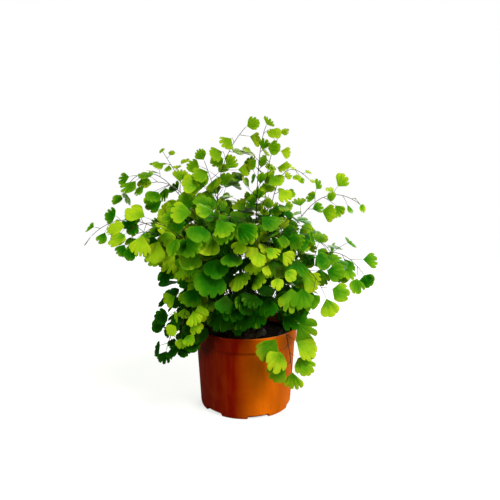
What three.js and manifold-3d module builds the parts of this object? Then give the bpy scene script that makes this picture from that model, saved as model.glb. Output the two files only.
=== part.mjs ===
// Potted maidenhair fern: a 13 cm plastic grower's pot, its potting soil, the rhizome that sits in
// the soil, and the fronds that rise from the rhizome. Millimetres, +Z up, the pot stands on z = 0
// with its axis on Z, and -Y is the side that grew towards the light.
import * as THREE from "three";
import { mergeVertices } from "three/addons/utils/BufferGeometryUtils.js";
import Module from "manifold-3d";

const wasm = await Module();
wasm.setup();

// ---- driving dimensions -----------------------------------------------------------------------
const POT_HEIGHT = 100;
const RIM_RADIUS = 63.5; // outside of the rim
const BASE_RADIUS = 55.8; // outside, at the foot
const COLLAR_HEIGHT = 17; // band below the rim, down to the step
const WALL = 1.4;
const FLOOR = 1.6;
const CHANNEL_RISE = 2.5; // the ring channel under the floor stands this far off the table
const CHANNEL_INSIDE = 22; // its radii, underneath
const CHANNEL_OUTSIDE = 39;
const TURNED_SIDES = 32; // flats round the pot, the soil and the rhizome
const FIT = 0.3; // gap between touching pieces

const SLOT_COUNT = 6; // drainage slots through the foot ring
const SLOT_WIDTH = 25;
const SLOT_HEIGHT = 4.5;
const SLOT_LEAN = 1.6; // each side of a slot leans in by this much
const SLOT_DEPTH = 12; // length of the cut through the foot ring
const FIRST_SLOT = -74; // degrees
const HOLE_RADIUS = 1.9; // drain holes in the channel
const HOLE_RING = 29; // radius of the ring that they are on

const SOIL_TOP = 88;
const CROWN_RADIUS = 26; // rhizome seen from above
const DOME_RADIUS = 40; // radius of its domed top
const CROWN_DEPTH = 6; // part of it sunk in the soil

const STEM_RADIUS = 0.75; // stipe of a frond
const BRANCH_RADIUS = 0.45; // side branch of a frond
const STEM_TAPER = 0.4; // share of its radius that a stem loses on the way to its tip
const TURN_STEP = 1.6; // degrees that a stem turns to miss another stem
const FOOT_STEP = 1.4; // distance that its foot moves to do so
const BRANCH_ANGLE = 56; // degrees between a stem and its side branches, on the average
const BRANCH_TURN = 14; // degrees that a side branch turns to miss its neighbours
const LEAF_ANGLE = 52; // degrees between a side branch and its leaflets, on the average
const TIP_SHARE = 0.28; // length of the uppermost side branch as a share of the lowest
const LEAF_INTERVAL = 0.62; // leaflets on a branch are this share of their length apart
const BARE_SHARE = 0.28; // share of a side branch before its first leaflet
const SOCKET = 0.8; // half of the stretch of stem that a side branch springs from
const LEAF_SOCKET = 0.6; // half of the stretch of branch that a leaflet springs from
const POT_HEADROOM = 4; // leaflets stay this far above the rim ...
const POT_MARGIN = 3.5; // ... or this far outside it
const STEM_SPACING = 1.9; // least distance between the centre lines of two fronds' stems
const LEAF_SPACING = 1.1; // least distance between the mid planes of two fronds' leaflets
const STEM_CLEARANCE = 1.5; // least distance of a leaflet from another frond's stem
const BRANCH_CLEARANCE = 1.2; // least distance of a leaflet from another frond's side branch
const BRANCH_SPACING = 1.9; // least distance between side branches, and from them to stems
const OWN_LEAF_SPACING = 0.5; // least distance between the leaflets of one frond's branches

// One row a frond. Angles in degrees seen from above, from +X towards +Y; lengths in mm.
// turn: the way it leans; ring: distance of its foot from the axis; out, high: its shoulder;
// reach, tip: its end; sway: sideways offset of the end; bare: share of the stem without leaflets;
// n: side branches; span: length of the lowest one; leaf: leaflet length; tone: 0 dark, 1 lime;
// loose: how unevenly the leaflets hang
const FROND_ROWS = [
  [180, 5, 68, 262, 0, 337, 0, 0.5, 11, 38, 20, 0.55, 0.7],
  [2, 5, 8, 304, 24, 339, 0, 0.56, 10, 32, 18, 0.6, 0.7],
  [15, 9, 24, 330, 80, 276, 0, 0.52, 10, 24, 12, 0.8, 0.8],
  [-15, 9, 14, 300, 42, 328, 0, 0.55, 9, 28, 16, 0.75, 0.8],
  [-6, 12, 70, 296, 134, 248, 0, 0.6, 8, 24, 17, 0.6, 0.85],
  [-12, 20, 90, 236, 140, 168, 0, 0.5, 8, 32, 20, 0.5, 0.7],
  [8, 16, 78, 240, 112, 180, 10, 0.5, 6, 32, 20, 0.5, 0.6],
  [-37, 20, 72, 222, 110, 150, 0, 0.45, 7, 34, 26, 0.62, 0.35],
  [-34, 14, 58, 228, 88, 186, 0, 0.45, 6, 34, 25, 0.4, 0.45],
  [-53, 20, 64, 176, 86, 66, 0, 0.52, 6, 17, 28, 0.85, 0.4],
  [182, 14, 120, 272, 184, 210, 0, 0.5, 9, 28, 20, 0.45, 0.7],
  [176, 10, 104, 344, 150, 258, 0, 0.5, 9, 34, 23, 0.45, 0.7],
  [164, 8, 75, 264, 106, 309, 0, 0.88, 3, 12, 12, 0.7, 0.6],
  [202, 14, 90, 262, 142, 219, 0, 0.5, 8, 36, 25, 0.95, 0.45],
  [207, 18, 78, 242, 118, 198, 0, 0.5, 7, 34, 20, 0.9, 0.45],
  [192, 18, 104, 252, 142, 204, 0, 0.52, 7, 28, 20, 0.25, 0.5],
  [214, 18, 76, 232, 94, 198, 0, 0.45, 7, 32, 22, 0.55, 0.45],
  [223, 22, 84, 206, 98, 104, 0, 0.44, 9, 24, 17, 0.95, 0.45],
  [200, 22, 80, 186, 90, 92, 0, 0.48, 8, 27, 19, 0.15, 0.6],
  [213, 21, 76, 172, 94, 90, 0, 0.45, 7, 30, 20, 0.2, 0.6],
  [239, 20, 54, 178, 82, 138, 0, 0.45, 7, 28, 25, 0.1, 0.4],
  [262, 22, 44, 150, 66, 118, 0, 0.5, 4, 14, 13, 0.45, 0.5],
  [254, 19, 52, 186, 76, 156, 0, 0.42, 6, 32, 26, 0.08, 0.4],
  [287, 20, 52, 184, 74, 150, 0, 0.42, 7, 28, 25, 0.1, 0.45],
  [270, 18, 48, 192, 70, 158, 0, 0.42, 7, 28, 25, 0.05, 0.4],
  [308, 20, 54, 188, 80, 146, 0, 0.42, 7, 28, 25, 0.08, 0.45],
  [292, 13, 64, 262, 88, 176, 0, 0.5, 8, 24, 20, 0.95, 0.5],
  [279, 10, 54, 246, 86, 204, 0, 0.48, 7, 32, 23, 0.85, 0.4],
  [226, 10, 66, 262, 104, 218, 0, 0.45, 8, 40, 24, 0.45, 0.4],
  [241, 12, 58, 268, 92, 232, 0, 0.45, 8, 40, 26, 0.5, 0.4],
  [256, 8, 50, 266, 88, 232, 0, 0.45, 8, 40, 26, 0.42, 0.4],
  [272, 6, 46, 270, 80, 230, 0, 0.45, 8, 38, 25, 0.48, 0.4],
  [302, 9, 48, 262, 76, 220, 0, 0.45, 8, 38, 24, 0.45, 0.4],
  [320, 9, 48, 258, 76, 216, 0, 0.45, 8, 36, 24, 0.38, 0.4],
  [340, 12, 46, 254, 70, 210, 0, 0.45, 7, 34, 22, 0.4, 0.4],
  [30, 16, 46, 262, 76, 206, 0, 0.45, 8, 36, 24, 0.4, 0.45],
  [56, 10, 56, 268, 96, 214, 0, 0.45, 8, 40, 24, 0.4, 0.45],
  [80, 16, 78, 250, 120, 176, 0, 0.45, 8, 42, 24, 0.4, 0.45],
  [100, 10, 64, 270, 110, 216, 0, 0.45, 8, 42, 24, 0.4, 0.45],
  [122, 15, 80, 250, 126, 180, 0, 0.45, 8, 42, 24, 0.4, 0.45],
  [143, 12, 76, 262, 118, 206, 0, 0.45, 8, 42, 24, 0.4, 0.45],
  [160, 17, 84, 240, 112, 202, 0, 0.45, 8, 34, 22, 0.35, 0.45],
  [46, 21, 70, 186, 100, 98, 0, 0.45, 7, 36, 22, 0.35, 0.45],
  [112, 21, 76, 190, 108, 96, 0, 0.45, 7, 36, 22, 0.35, 0.45],
  [78, 22, 70, 182, 104, 92, 0, 0.45, 7, 36, 22, 0.35, 0.45],
  [146, 22, 78, 186, 110, 100, 0, 0.45, 7, 36, 22, 0.3, 0.45],
  [92, 5, 40, 276, 74, 236, 0, 0.45, 7, 38, 22, 0.45, 0.45],
  [178, 12, 60, 256, 96, 230, 0, 0.45, 8, 38, 23, 0.42, 0.45],
  [58, 21, 34, 160, 50, 136, 0, 0.3, 6, 26, 22, 0.25, 0.45],
  [102, 21, 36, 152, 52, 126, 0, 0.3, 6, 26, 22, 0.25, 0.45],
  [132, 21, 38, 162, 56, 134, 0, 0.3, 6, 26, 22, 0.25, 0.45],
  [168, 21, 42, 166, 62, 130, 0, 0.3, 6, 28, 22, 0.2, 0.45],
  [20, 21, 40, 162, 60, 132, 0, 0.3, 6, 28, 22, 0.2, 0.45],
  [207, 22, 80, 166, 103, 82, 0, 0.45, 8, 28, 20, 0.15, 0.6],
  [172, 6, 38, 268, 50, 298, 0, 0.55, 8, 28, 20, 0.5, 0.6],
  [186, 9, 66, 296, 118, 270, 0, 0.45, 8, 32, 22, 0.5, 0.5],
  [262, 14, 34, 160, 52, 172, 0, 0.4, 7, 34, 24, 0.08, 0.5],
];

// ---- closed solids ----------------------------------------------------------------------------
function solidOf(geometry) {
  const bare = geometry.index ? geometry.toNonIndexed() : geometry.clone();
  bare.deleteAttribute("normal");
  bare.deleteAttribute("uv");
  const merged = mergeVertices(bare, 1e-4);
  return new wasm.Manifold(
    new wasm.Mesh({
      numProp: 3,
      vertProperties: merged.attributes.position.array,
      triVerts: new Uint32Array(merged.index.array),
    }),
  );
}

function meshOf(solid, name, colour, roughness) {
  const made = solid.getMesh();
  const geometry = new THREE.BufferGeometry();
  geometry.setAttribute("position", new THREE.BufferAttribute(made.vertProperties, 3));
  geometry.setIndex(new THREE.BufferAttribute(made.triVerts, 1));
  geometry.computeVertexNormals();
  const material = new THREE.MeshStandardMaterial({ color: colour, roughness, metalness: 0 });
  const mesh = new THREE.Mesh(geometry, material);
  mesh.name = name;
  return mesh;
}

function turned(profile, segments) {
  const lathe = new THREE.LatheGeometry(
    profile.map(([r, z]) => new THREE.Vector2(r, z)),
    segments,
  );
  return solidOf(lathe.rotateX(Math.PI / 2));
}

// ---- pot --------------------------------------------------------------------------------------
const COLLAR_LOW = POT_HEIGHT - COLLAR_HEIGHT;
const potFloor = [
  [0, FLOOR],
  [CHANNEL_INSIDE - 2, FLOOR],
  [CHANNEL_INSIDE + 1, CHANNEL_RISE + FLOOR],
  [CHANNEL_OUTSIDE - 1, CHANNEL_RISE + FLOOR],
  [CHANNEL_OUTSIDE + 2, FLOOR],
];
const potInside = [
  [BASE_RADIUS - 2.6, FLOOR],
  [BASE_RADIUS - 1, 5],
  [RIM_RADIUS - 2.6 - WALL - 0.3, COLLAR_LOW - 4],
  [RIM_RADIUS - 1 - WALL - 0.4, COLLAR_LOW],
  [RIM_RADIUS - 2.1, POT_HEIGHT - 3],
];
const potOutside = [
  [RIM_RADIUS - 1.6, POT_HEIGHT],
  [RIM_RADIUS - 0.5, POT_HEIGHT],
  [RIM_RADIUS, POT_HEIGHT - 0.8],
  [RIM_RADIUS - 1, COLLAR_LOW],
  [RIM_RADIUS - 2.6, COLLAR_LOW - 1.2],
  [BASE_RADIUS + 0.5, 4],
  [BASE_RADIUS, 1],
  [BASE_RADIUS - 1.2, 0],
  [CHANNEL_OUTSIDE + 3, 0],
  [CHANNEL_OUTSIDE, CHANNEL_RISE],
  [CHANNEL_INSIDE, CHANNEL_RISE],
  [CHANNEL_INSIDE - 3, 0],
  [0, 0],
];
// The profile runs up the outside and down the inside, so the faces look outwards.
const potProfile = [...potFloor, ...potInside, ...potOutside].reverse();

function buildPot() {
  const cutters = [];
  for (let k = 0; k < SLOT_COUNT; k++) {
    const turn = THREE.MathUtils.degToRad(FIRST_SLOT + (360 / SLOT_COUNT) * k);
    // the slot is a low arch: a flat trapezium through the foot ring
    const arch = new THREE.Shape([
      new THREE.Vector2(-SLOT_WIDTH / 2, -1),
      new THREE.Vector2(SLOT_WIDTH / 2, -1),
      new THREE.Vector2(SLOT_WIDTH / 2 - SLOT_LEAN, SLOT_HEIGHT),
      new THREE.Vector2(-SLOT_WIDTH / 2 + SLOT_LEAN, SLOT_HEIGHT),
    ]);
    const slot = new THREE.ExtrudeGeometry(arch, { depth: SLOT_DEPTH, bevelEnabled: false });
    slot.rotateX(Math.PI / 2).rotateZ(Math.PI / 2);
    slot.translate(BASE_RADIUS - SLOT_DEPTH / 2, 0, 0).rotateZ(turn);
    cutters.push(solidOf(slot));
    const hole = new THREE.CylinderGeometry(HOLE_RADIUS, HOLE_RADIUS, 12, 8);
    hole.rotateX(Math.PI / 2).translate(HOLE_RING, 0, FLOOR + 1.4).rotateZ(turn);
    cutters.push(solidOf(hole));
  }
  return turned(potProfile, TURNED_SIDES).subtract(wasm.Manifold.union(cutters));
}

// ---- potting soil and rhizome -----------------------------------------------------------------
function buildSoil() {
  const under = potFloor.map(([r, z]) => [r, z + FIT]);
  const side = potInside.slice(0, 4).map(([r, z]) => [r - FIT - 0.15, z + (z < 3 ? FIT : 0)]);
  const top = [
    [RIM_RADIUS - 3.1, SOIL_TOP - 2.2],
    [53, SOIL_TOP - 0.6],
    [38, SOIL_TOP - 0.8],
    [CROWN_RADIUS + FIT, SOIL_TOP],
    [CROWN_RADIUS + FIT, SOIL_TOP - CROWN_DEPTH - FIT],
    [0, SOIL_TOP - CROWN_DEPTH - FIT],
  ];
  return turned([...under, ...side, ...top], TURNED_SIDES);
}

const DOME_CENTRE = SOIL_TOP - Math.sqrt(DOME_RADIUS ** 2 - CROWN_RADIUS ** 2);

function buildRhizome() {
  const cap = [CROWN_RADIUS, 21, 15, 9, 4, 0].map((r) => [
    r,
    DOME_CENTRE + Math.sqrt(DOME_RADIUS ** 2 - r ** 2),
  ]);
  const low = SOIL_TOP - CROWN_DEPTH;
  return turned([[0, low], [CROWN_RADIUS, low], ...cap], TURNED_SIDES);
}

// ---- the way the fronds grow ------------------------------------------------------------------
const UP = new THREE.Vector3(0, 0, 1);
const LIGHT = new THREE.Vector3(0, -1, 0);
const rad = THREE.MathUtils.degToRad;
const v = (x, y, z) => new THREE.Vector3(x, y, z);
// The weighted sum of some vectors: blend([a, 2], [b, -1]) is 2a - b.
const blend = (...terms) =>
  terms.reduce((sum, [vector, weight]) => sum.addScaledVector(vector, weight), v(0, 0, 0));
const across = (vector, axis) => blend([vector, 1], [axis, -vector.dot(axis)]).normalize();

// A steady stream of numbers between 0 and 1 for one seed.
function stream(seed) {
  let state = (seed * 7919 + 12345) % 2147483647;
  const next = () => (state = (state * 16807) % 2147483647) / 2147483647;
  for (let k = 0; k < 4; k++) next();
  return { next, spread: () => 2 * next() - 1 };
}

// Shortest distance between the stretches a-b and c-d.
function lineGap(a, b, c, d) {
  const u = blend([b, 1], [a, -1]);
  const w = blend([d, 1], [c, -1]);
  const r = blend([a, 1], [c, -1]);
  const uu = u.dot(u), ww = w.dot(w), uw = u.dot(w), ur = u.dot(r), wr = w.dot(r);
  const flat = uu * ww - uw * uw;
  let s = flat > 1e-9 ? THREE.MathUtils.clamp((uw * wr - ur * ww) / flat, 0, 1) : 0;
  const t = THREE.MathUtils.clamp((uw * s + wr) / ww, 0, 1);
  s = THREE.MathUtils.clamp((uw * t - ur) / uu, 0, 1);
  return blend([r, 1], [u, s], [w, -t]).length();
}

// Steps for trying a little to one side and then to the other: 0, 1, -1, 2, -2 ...
const sway = (k) => Math.ceil(k / 2) * (k % 2 ? 1 : -1);

// The stem of a frond: a cubic curve from the dome of the rhizome over the shoulder to the tip,
// with equally spaced nodes. If it would touch an earlier stem, it is turned or moved a little.
function growStem(row, placed) {
  const [turn, ring, out, high, reach, tip, side, bare, n] = row;
  for (let k = 0; k < 99; k++) {
    const angle = rad(turn + TURN_STEP * sway(k % 9));
    const foot = Math.abs(ring + FOOT_STEP * sway(Math.floor(k / 9)));
    const away = v(Math.cos(angle), Math.sin(angle), 0);
    const beside = v(-Math.sin(angle), Math.cos(angle), 0);
    const normal = v(foot * away.x, foot * away.y, Math.sqrt(DOME_RADIUS ** 2 - foot ** 2));
    const start = blend([normal, 1], [UP, DOME_CENTRE]);
    normal.normalize();
    start.addScaledVector(normal, FIT + 0.05);
    const curve = new THREE.CubicBezierCurve3(
      start,
      blend([start, 1], [normal, 0.42 * (high - start.z)]),
      blend([away, out], [UP, high]),
      blend([away, reach], [beside, side], [UP, tip]),
    );
    const steps = Math.round(n / (1 - bare));
    const first = steps - n;
    const nodes = curve.getSpacedPoints(steps);
    const path = nodes.filter((_, i) => i === 0 || i >= first || i % 2 === first % 2);
    const free = placed.every((other) =>
      path.slice(1).every((b, i) =>
        other.path.slice(1).every(
          (d, j) => lineGap(path[i], b, other.path[j], d) > STEM_SPACING,
        ),
      ),
    );
    // fronds at the back, in the plant's own shade, turn less to the light
    const lit = 1 - 0.9 * Math.max(0, away.y);
    if (free) return { curve, steps, nodes, path, away, beside, first, lit };
  }
  throw new Error(`no room for the frond at ${turn} degrees`);
}

// Whether a place is clear of the pot, the soil and the space just above them.
const clearOfPot = (p) =>
  p.z > POT_HEIGHT + POT_HEADROOM || Math.hypot(p.x, p.y) > RIM_RADIUS + POT_MARGIN;

// Whether the stretch p-q stays off a flat round plate by the distance reach.
function clearOfLine(plate, p, q, reach) {
  const a = blend([p, 1], [plate.centre, -1]);
  const b = blend([q, 1], [plate.centre, -1]);
  const s0 = a.dot(plate.normal), s1 = b.dot(plate.normal);
  if (Math.min(s0, s1) > reach || Math.max(s0, s1) < -reach) return true;
  a.addScaledVector(plate.normal, -s0);
  b.addScaledVector(plate.normal, -s1);
  const rise = s1 - s0;
  const cut = (h) => THREE.MathUtils.clamp((h - s0) / rise, 0, 1);
  let t0 = 0, t1 = 1;
  if (Math.abs(rise) > 1e-6) {
    t0 = Math.min(cut(-reach), cut(reach));
    t1 = Math.max(cut(-reach), cut(reach));
  }
  const along = blend([b, 1], [a, -1]);
  const nearest = -a.dot(along) / Math.max(along.dot(along), 1e-9);
  const t = THREE.MathUtils.clamp(nearest, t0, t1);
  return blend([a, 1], [along, t]).length() > plate.radius + reach;
}

// Whether two flat round plates stay apart by the distance gap. Two plates cross where the
// chords that they cut from the line of their two planes overlap.
function clearOfPlate(a, b, gap) {
  const ra = a.radius + 0.4, rb = b.radius + 0.4;
  if (a.centre.distanceTo(b.centre) > ra + rb) return true;
  const line = v(0, 0, 0).crossVectors(a.normal, b.normal);
  const sine = line.length();
  const apart = blend([a.centre, 1], [b.centre, -1]);
  if (sine < 0.1) return Math.abs(apart.dot(b.normal)) > gap + ra * sine;
  line.divideScalar(sine);
  for (const share of [-1, -0.5, 0, 0.5, 1]) {
    const d = blend([apart, 1], [a.normal, share * gap]);
    const ea = Math.abs(d.dot(b.normal)) / sine;
    const eb = Math.abs(d.dot(a.normal)) / sine;
    if (ea >= ra || eb >= rb) continue;
    const chords = Math.sqrt(ra * ra - ea * ea) + Math.sqrt(rb * rb - eb * eb);
    if (Math.abs(d.dot(line)) < chords) return false;
  }
  return true;
}

// Ways to place a leaflet, tried in this order: roll and pitch in degrees, and a scale.
const TRIES = [
  [0, 0, 1], [25, 0, 1], [-25, 0, 1], [0, 20, 1], [0, -20, 1], [0, 0, 0.85], [45, 0, 0.9],
  [-45, 0, 0.9], [25, 20, 0.85], [-25, -20, 0.85], [0, 35, 0.8], [0, -35, 0.8], [65, 0, 0.8],
  [-65, 0, 0.8], [0, 0, 0.62], [40, 0, 0.6], [-40, 0, 0.6], [0, 40, 0.6], [0, -40, 0.6],
];

function growFern() {
  const stems = [];
  for (const row of FROND_ROWS) stems.push(growStem(row, stems));

  // side branches, left and right in turn, in a blade that is tilted to the light
  const branches = [];
  stems.forEach((stem, f) => {
    const [, , , , , , , , n, span] = FROND_ROWS[f];
    const draw = stream(f + 1);
    let hand = f % 2 ? 1 : -1;
    for (let j = 0; j <= n; j++) {
      const end = j === n;
      const u = j / n;
      const from = stem.nodes[stem.first + j];
      const ahead = stem.curve.getTangentAt((stem.first + j) / stem.steps);
      const flat = v(0, 0, 0).crossVectors(ahead, across(stem.beside, ahead));
      const face = across(blend([flat, 1], [LIGHT, 0.9 * stem.lit]), ahead);
      const beside = v(0, 0, 0).crossVectors(face, ahead);
      const open = rad(BRANCH_ANGLE + 12 * draw.spread());
      const droop = 0.05 + 0.22 * draw.next();
      const lift = 0.3 * draw.spread();
      const length = span * (1 - (1 - TIP_SHARE) * u) * (0.85 + 0.3 * draw.next());
      if (end) {
        branches.push({ f, j, u, from, axis: ahead, face, length: 0, stem });
        continue;
      }
      for (let k = 0; k < 7; k++) {
        const angle = open + rad(BRANCH_TURN) * sway(k);
        const axis = blend(
          [ahead, Math.cos(angle)], [beside, hand * Math.sin(angle)], [UP, -droop], [face, lift],
        ).normalize();
        const reach = length * (k < 3 ? 1 : 0.75);
        const to = blend([from, 1], [axis, reach]);
        const free =
          clearOfPot(to) &&
          stems.every((other, g) => g === f || other.path.slice(1).every((b, i) =>
            lineGap(from, to, other.path[i], b) > BRANCH_SPACING)) &&
          branches.every((other) => other.f === f || other.length === 0 ||
            lineGap(from, to, other.from, other.to) > BRANCH_SPACING);
        if (!free) continue;
        branches.push({ f, j, u, from, to, axis, face: across(face, axis), length: reach, stem });
        break;
      }
      hand = -hand;
    }
  });

  // leaflets along each branch, left and right in turn, and one at its end
  const leaflets = [];
  branches.forEach((branch, b) => {
    const [leaf, tone, loose] = FROND_ROWS[branch.f].slice(10);
    const draw = stream(500 + b);
    const beside = v(0, 0, 0).crossVectors(branch.face, branch.axis);
    const count = Math.max(1, Math.floor(branch.length / (leaf * LEAF_INTERVAL) + 0.8));
    for (let k = 0; k < count; k++) {
      const end = k === count - 1;
      const hand = k % 2 ? -1 : 1;
      const along = end ? 1 : BARE_SHARE + ((1 - BARE_SHARE) * k) / count;
      const size = leaf * (0.82 + 0.34 * draw.next()) * (1 - 0.3 * branch.u) * (end ? 1.08 : 0.95);
      const open = rad(LEAF_ANGLE + 14 * draw.spread());
      const droop = 0.1 + 0.35 * draw.next();
      const tilt = v(draw.spread(), draw.spread(), draw.spread());
      const wide = 0.5 + 0.08 * draw.next();
      const shade = draw.next();
      const lean = end
        ? branch.axis
        : blend([branch.axis, Math.cos(open)], [beside, hand * Math.sin(open)]);
      const { away, lit } = branch.stem;
      const face = blend([branch.face, 0.45], [away, 0.45], [LIGHT, 0.55 * lit], [UP, 0.35]);
      const normal0 = blend([face.normalize(), 1], [tilt, loose]).normalize();
      const hang = blend([lean, 1], [UP, -droop]).normalize();
      const axis0 = blend([hang, 1], [normal0, -0.85 * normal0.dot(hang)]).normalize();
      const from = blend([branch.from, 1], [branch.axis, branch.length * along]);
      for (const [roll, pitch, scale] of TRIES) {
        const normal = across(normal0, axis0).applyAxisAngle(axis0, rad(roll));
        const hinge = v(0, 0, 0).crossVectors(normal, axis0);
        const axis = axis0.clone().applyAxisAngle(hinge, rad(pitch));
        normal.applyAxisAngle(hinge, rad(pitch));
        const length = size * scale;
        const centre = blend([from, 1], [axis, 0.52 * length]);
        const plate = { f: branch.f, b, centre, normal, radius: 0.54 * length };
        const tip = blend([from, 1], [axis, length]);
        const sides = v(0, 0, 0).crossVectors(axis, normal).multiplyScalar(0.5 * length);
        const free =
          clearOfPot(tip) &&
          clearOfPot(blend([centre, 1], [sides, 1])) &&
          clearOfPot(blend([centre, 1], [sides, -1])) &&
          leaflets.every((o) => o.plate.b === b ||
            clearOfPlate(plate, o.plate, o.plate.f === branch.f ? OWN_LEAF_SPACING : LEAF_SPACING)) &&
          stems.every((o, g) => g === branch.f || o.path.slice(1).every((q, i) =>
            clearOfLine(plate, o.path[i], q, STEM_CLEARANCE))) &&
          branches.every((o) => o.f === branch.f || o.length === 0 ||
            clearOfLine(plate, o.from, o.to, BRANCH_CLEARANCE));
        if (!free) continue;
        leaflets.push({ plate, b, end, along, from, axis, normal, length, wide, tone, shade });
        break;
      }
    }
  });
  return { stems, branches, leaflets };
}

// ---- fronds as solids -------------------------------------------------------------------------
// A frond is one closed skin. It starts as a three-sided tube, and every side branch and leaflet
// takes the place of one triangle of the skin that faces the way it grows.
class Skin {
  constructor() {
    this.points = [];
    this.faces = [];
  }

  point(p) {
    return this.points.push(p) - 1;
  }

  ring(centre, x, y, radius) {
    return [90, 210, 330].map((deg) =>
      this.point(
        blend([centre, 1], [x, radius * Math.cos(rad(deg))], [y, radius * Math.sin(rad(deg))]),
      ),
    );
  }

  face(a, b, c) {
    return this.faces.push([a, b, c]) - 1;
  }

  // The six triangles between two rings, lower one first. Returns their numbers.
  tube(low, high) {
    return [0, 1, 2].flatMap((k) => {
      const m = (k + 1) % 3;
      return [this.face(low[k], low[m], high[m]), this.face(low[k], high[m], high[k])];
    });
  }

  // Takes out the triangle among some that faces most nearly along axis, and returns its corners.
  open(numbers, axis) {
    let best = -Infinity, chosen;
    for (const i of numbers) {
      if (!this.faces[i]) continue;
      const [a, b, c] = this.faces[i].map((k) => this.points[k]);
      const outwards = v(0, 0, 0)
        .crossVectors(blend([b, 1], [a, -1]), blend([c, 1], [a, -1]))
        .normalize();
      if (outwards.dot(axis) > best) [best, chosen] = [outwards.dot(axis), i];
    }
    const corners = this.faces[chosen];
    this.faces[chosen] = null;
    return corners;
  }

  // A leaflet on an opened triangle: a fan that is thickest at its stalk. One corner of the
  // triangle, a, lies on one side of the blade, and the other two lie on the other side.
  leaflet(corners, { from, axis, normal, length, wide }) {
    const heights = corners.map((k) => blend([this.points[k], 1], [from, -1]).dot(normal));
    const [low, middle, high] = [...heights].sort((p, q) => p - q);
    const above = high - middle > middle - low;
    const lone = above ? high : low;
    const first = heights.indexOf(lone);
    const [a, b, c] = [0, 1, 2].map((k) => corners[(first + k) % 3]);
    // the rim runs between them, as near the middle of the branch as it can
    const [near, far] = [0.25, 0.75].map((share) => middle + share * (lone - middle));
    const level = THREE.MathUtils.clamp(0, Math.min(near, far), Math.max(near, far));
    const side = v(0, 0, 0).crossVectors(axis, normal).multiplyScalar(above ? 1 : -1);
    const rim = [[1, 0.5], [0.54, 0.98], [-0.54, 0.98], [-1, 0.5]].map(([x, y]) =>
      this.point(
        blend([from, 1], [normal, level], [side, x * wide * length], [axis, y * length]),
      ),
    );
    for (let k = 0; k < 3; k++) {
      this.face(a, rim[k], rim[k + 1]);
      this.face(k < 2 ? b : c, rim[k + 1], rim[k]);
    }
    this.face(a, b, rim[0]);
    this.face(b, c, rim[2]);
    this.face(c, a, rim[3]);
  }

  solid() {
    const geometry = new THREE.BufferGeometry().setFromPoints(this.points);
    geometry.setIndex(this.faces.filter(Boolean).flat());
    return solidOf(geometry);
  }
}

// The corners of a ring, turned so that they follow on from the corners of an opened triangle.
function matched(skin, corners, ring) {
  const gap = (s) =>
    corners.reduce(
      (sum, k, i) => sum + skin.points[k].distanceTo(skin.points[ring[(i + s) % 3]]), 0);
  const s = [0, 1, 2].sort((p, q) => gap(p) - gap(q))[0];
  return ring.map((_, i) => ring[(i + s) % 3]);
}

function frondSolid(f, { stems, branches, leaflets }) {
  const skin = new Skin();
  const stem = stems[f];
  const ringAt = (centre, ahead, share) => {
    const x = across(stem.beside, ahead);
    return skin.ring(centre, x, v(0, 0, 0).crossVectors(ahead, x), STEM_RADIUS * (1 - STEM_TAPER * share));
  };

  // the stem, with a short stretch at each node for the side branch there
  const sockets = [];
  let low;
  stem.nodes.forEach((node, i) => {
    if (!stem.path.includes(node)) return;
    const ahead = stem.curve.getTangentAt(i / stem.steps);
    const end = i === stem.steps;
    const socket = i >= stem.first && !end;
    for (const shift of socket ? [-SOCKET, SOCKET] : [0]) {
      const high = ringAt(blend([node, 1], [ahead, shift]), ahead, i / stem.steps);
      if (low) sockets[i - stem.first] = skin.tube(low, high);
      else skin.face(high[2], high[1], high[0]);
      low = high;
    }
    if (end) sockets[i - stem.first] = [skin.face(...low)];
  });

  branches.forEach((branch, b) => {
    if (branch.f !== f) return;
    const own = leaflets.filter((leaflet) => leaflet.b === b);
    if (branch.length === 0) {
      if (own.length) skin.leaflet(skin.open(sockets[branch.j], own[0].axis), own[0]);
      return;
    }
    const { axis, face } = branch;
    const y = v(0, 0, 0).crossVectors(axis, face);
    let last = skin.open(sockets[branch.j], axis);
    const extend = (along) => {
      const centre = blend([branch.from, 1], [axis, along]);
      const ring = matched(skin, last, skin.ring(centre, face, y, BRANCH_RADIUS));
      const numbers = skin.tube(last, ring);
      last = ring;
      return numbers;
    };
    for (const leaflet of own.filter((l) => !l.end)) {
      extend(leaflet.along * branch.length - LEAF_SOCKET);
      const numbers = extend(leaflet.along * branch.length + LEAF_SOCKET);
      skin.leaflet(skin.open(numbers, leaflet.axis), leaflet);
    }
    extend(branch.length);
    const cap = skin.face(...last);
    const tip = own.find((l) => l.end);
    if (tip) skin.leaflet(skin.open([cap], tip.axis), tip);
  });
  return skin.solid();
}

// ---- the potted plant -------------------------------------------------------------------------
const plant = new THREE.Group();
plant.add(meshOf(buildPot(), "pot", 0xa8501c, 0.45));
plant.add(meshOf(buildSoil(), "potting_soil", 0x2a1a12, 0.95));
plant.add(meshOf(buildRhizome(), "rhizome", 0x2e1c12, 0.9));

const fern = growFern();
fern.stems.forEach((_, f) => {
  const tone = FROND_ROWS[f][11];
  const colour = new THREE.Color(0x1d4f0c).lerp(new THREE.Color(0x9cc81e), tone);
  const name = `frond_${String(f + 1).padStart(2, "0")}`;
  plant.add(meshOf(frondSolid(f, fern), name, colour, 0.6));
});

export default plant;
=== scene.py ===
"""Potted maidenhair fern in a terracotta-coloured nursery pot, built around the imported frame."""
from math import ceil, cos, hypot, pi, radians, sin, sqrt

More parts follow.
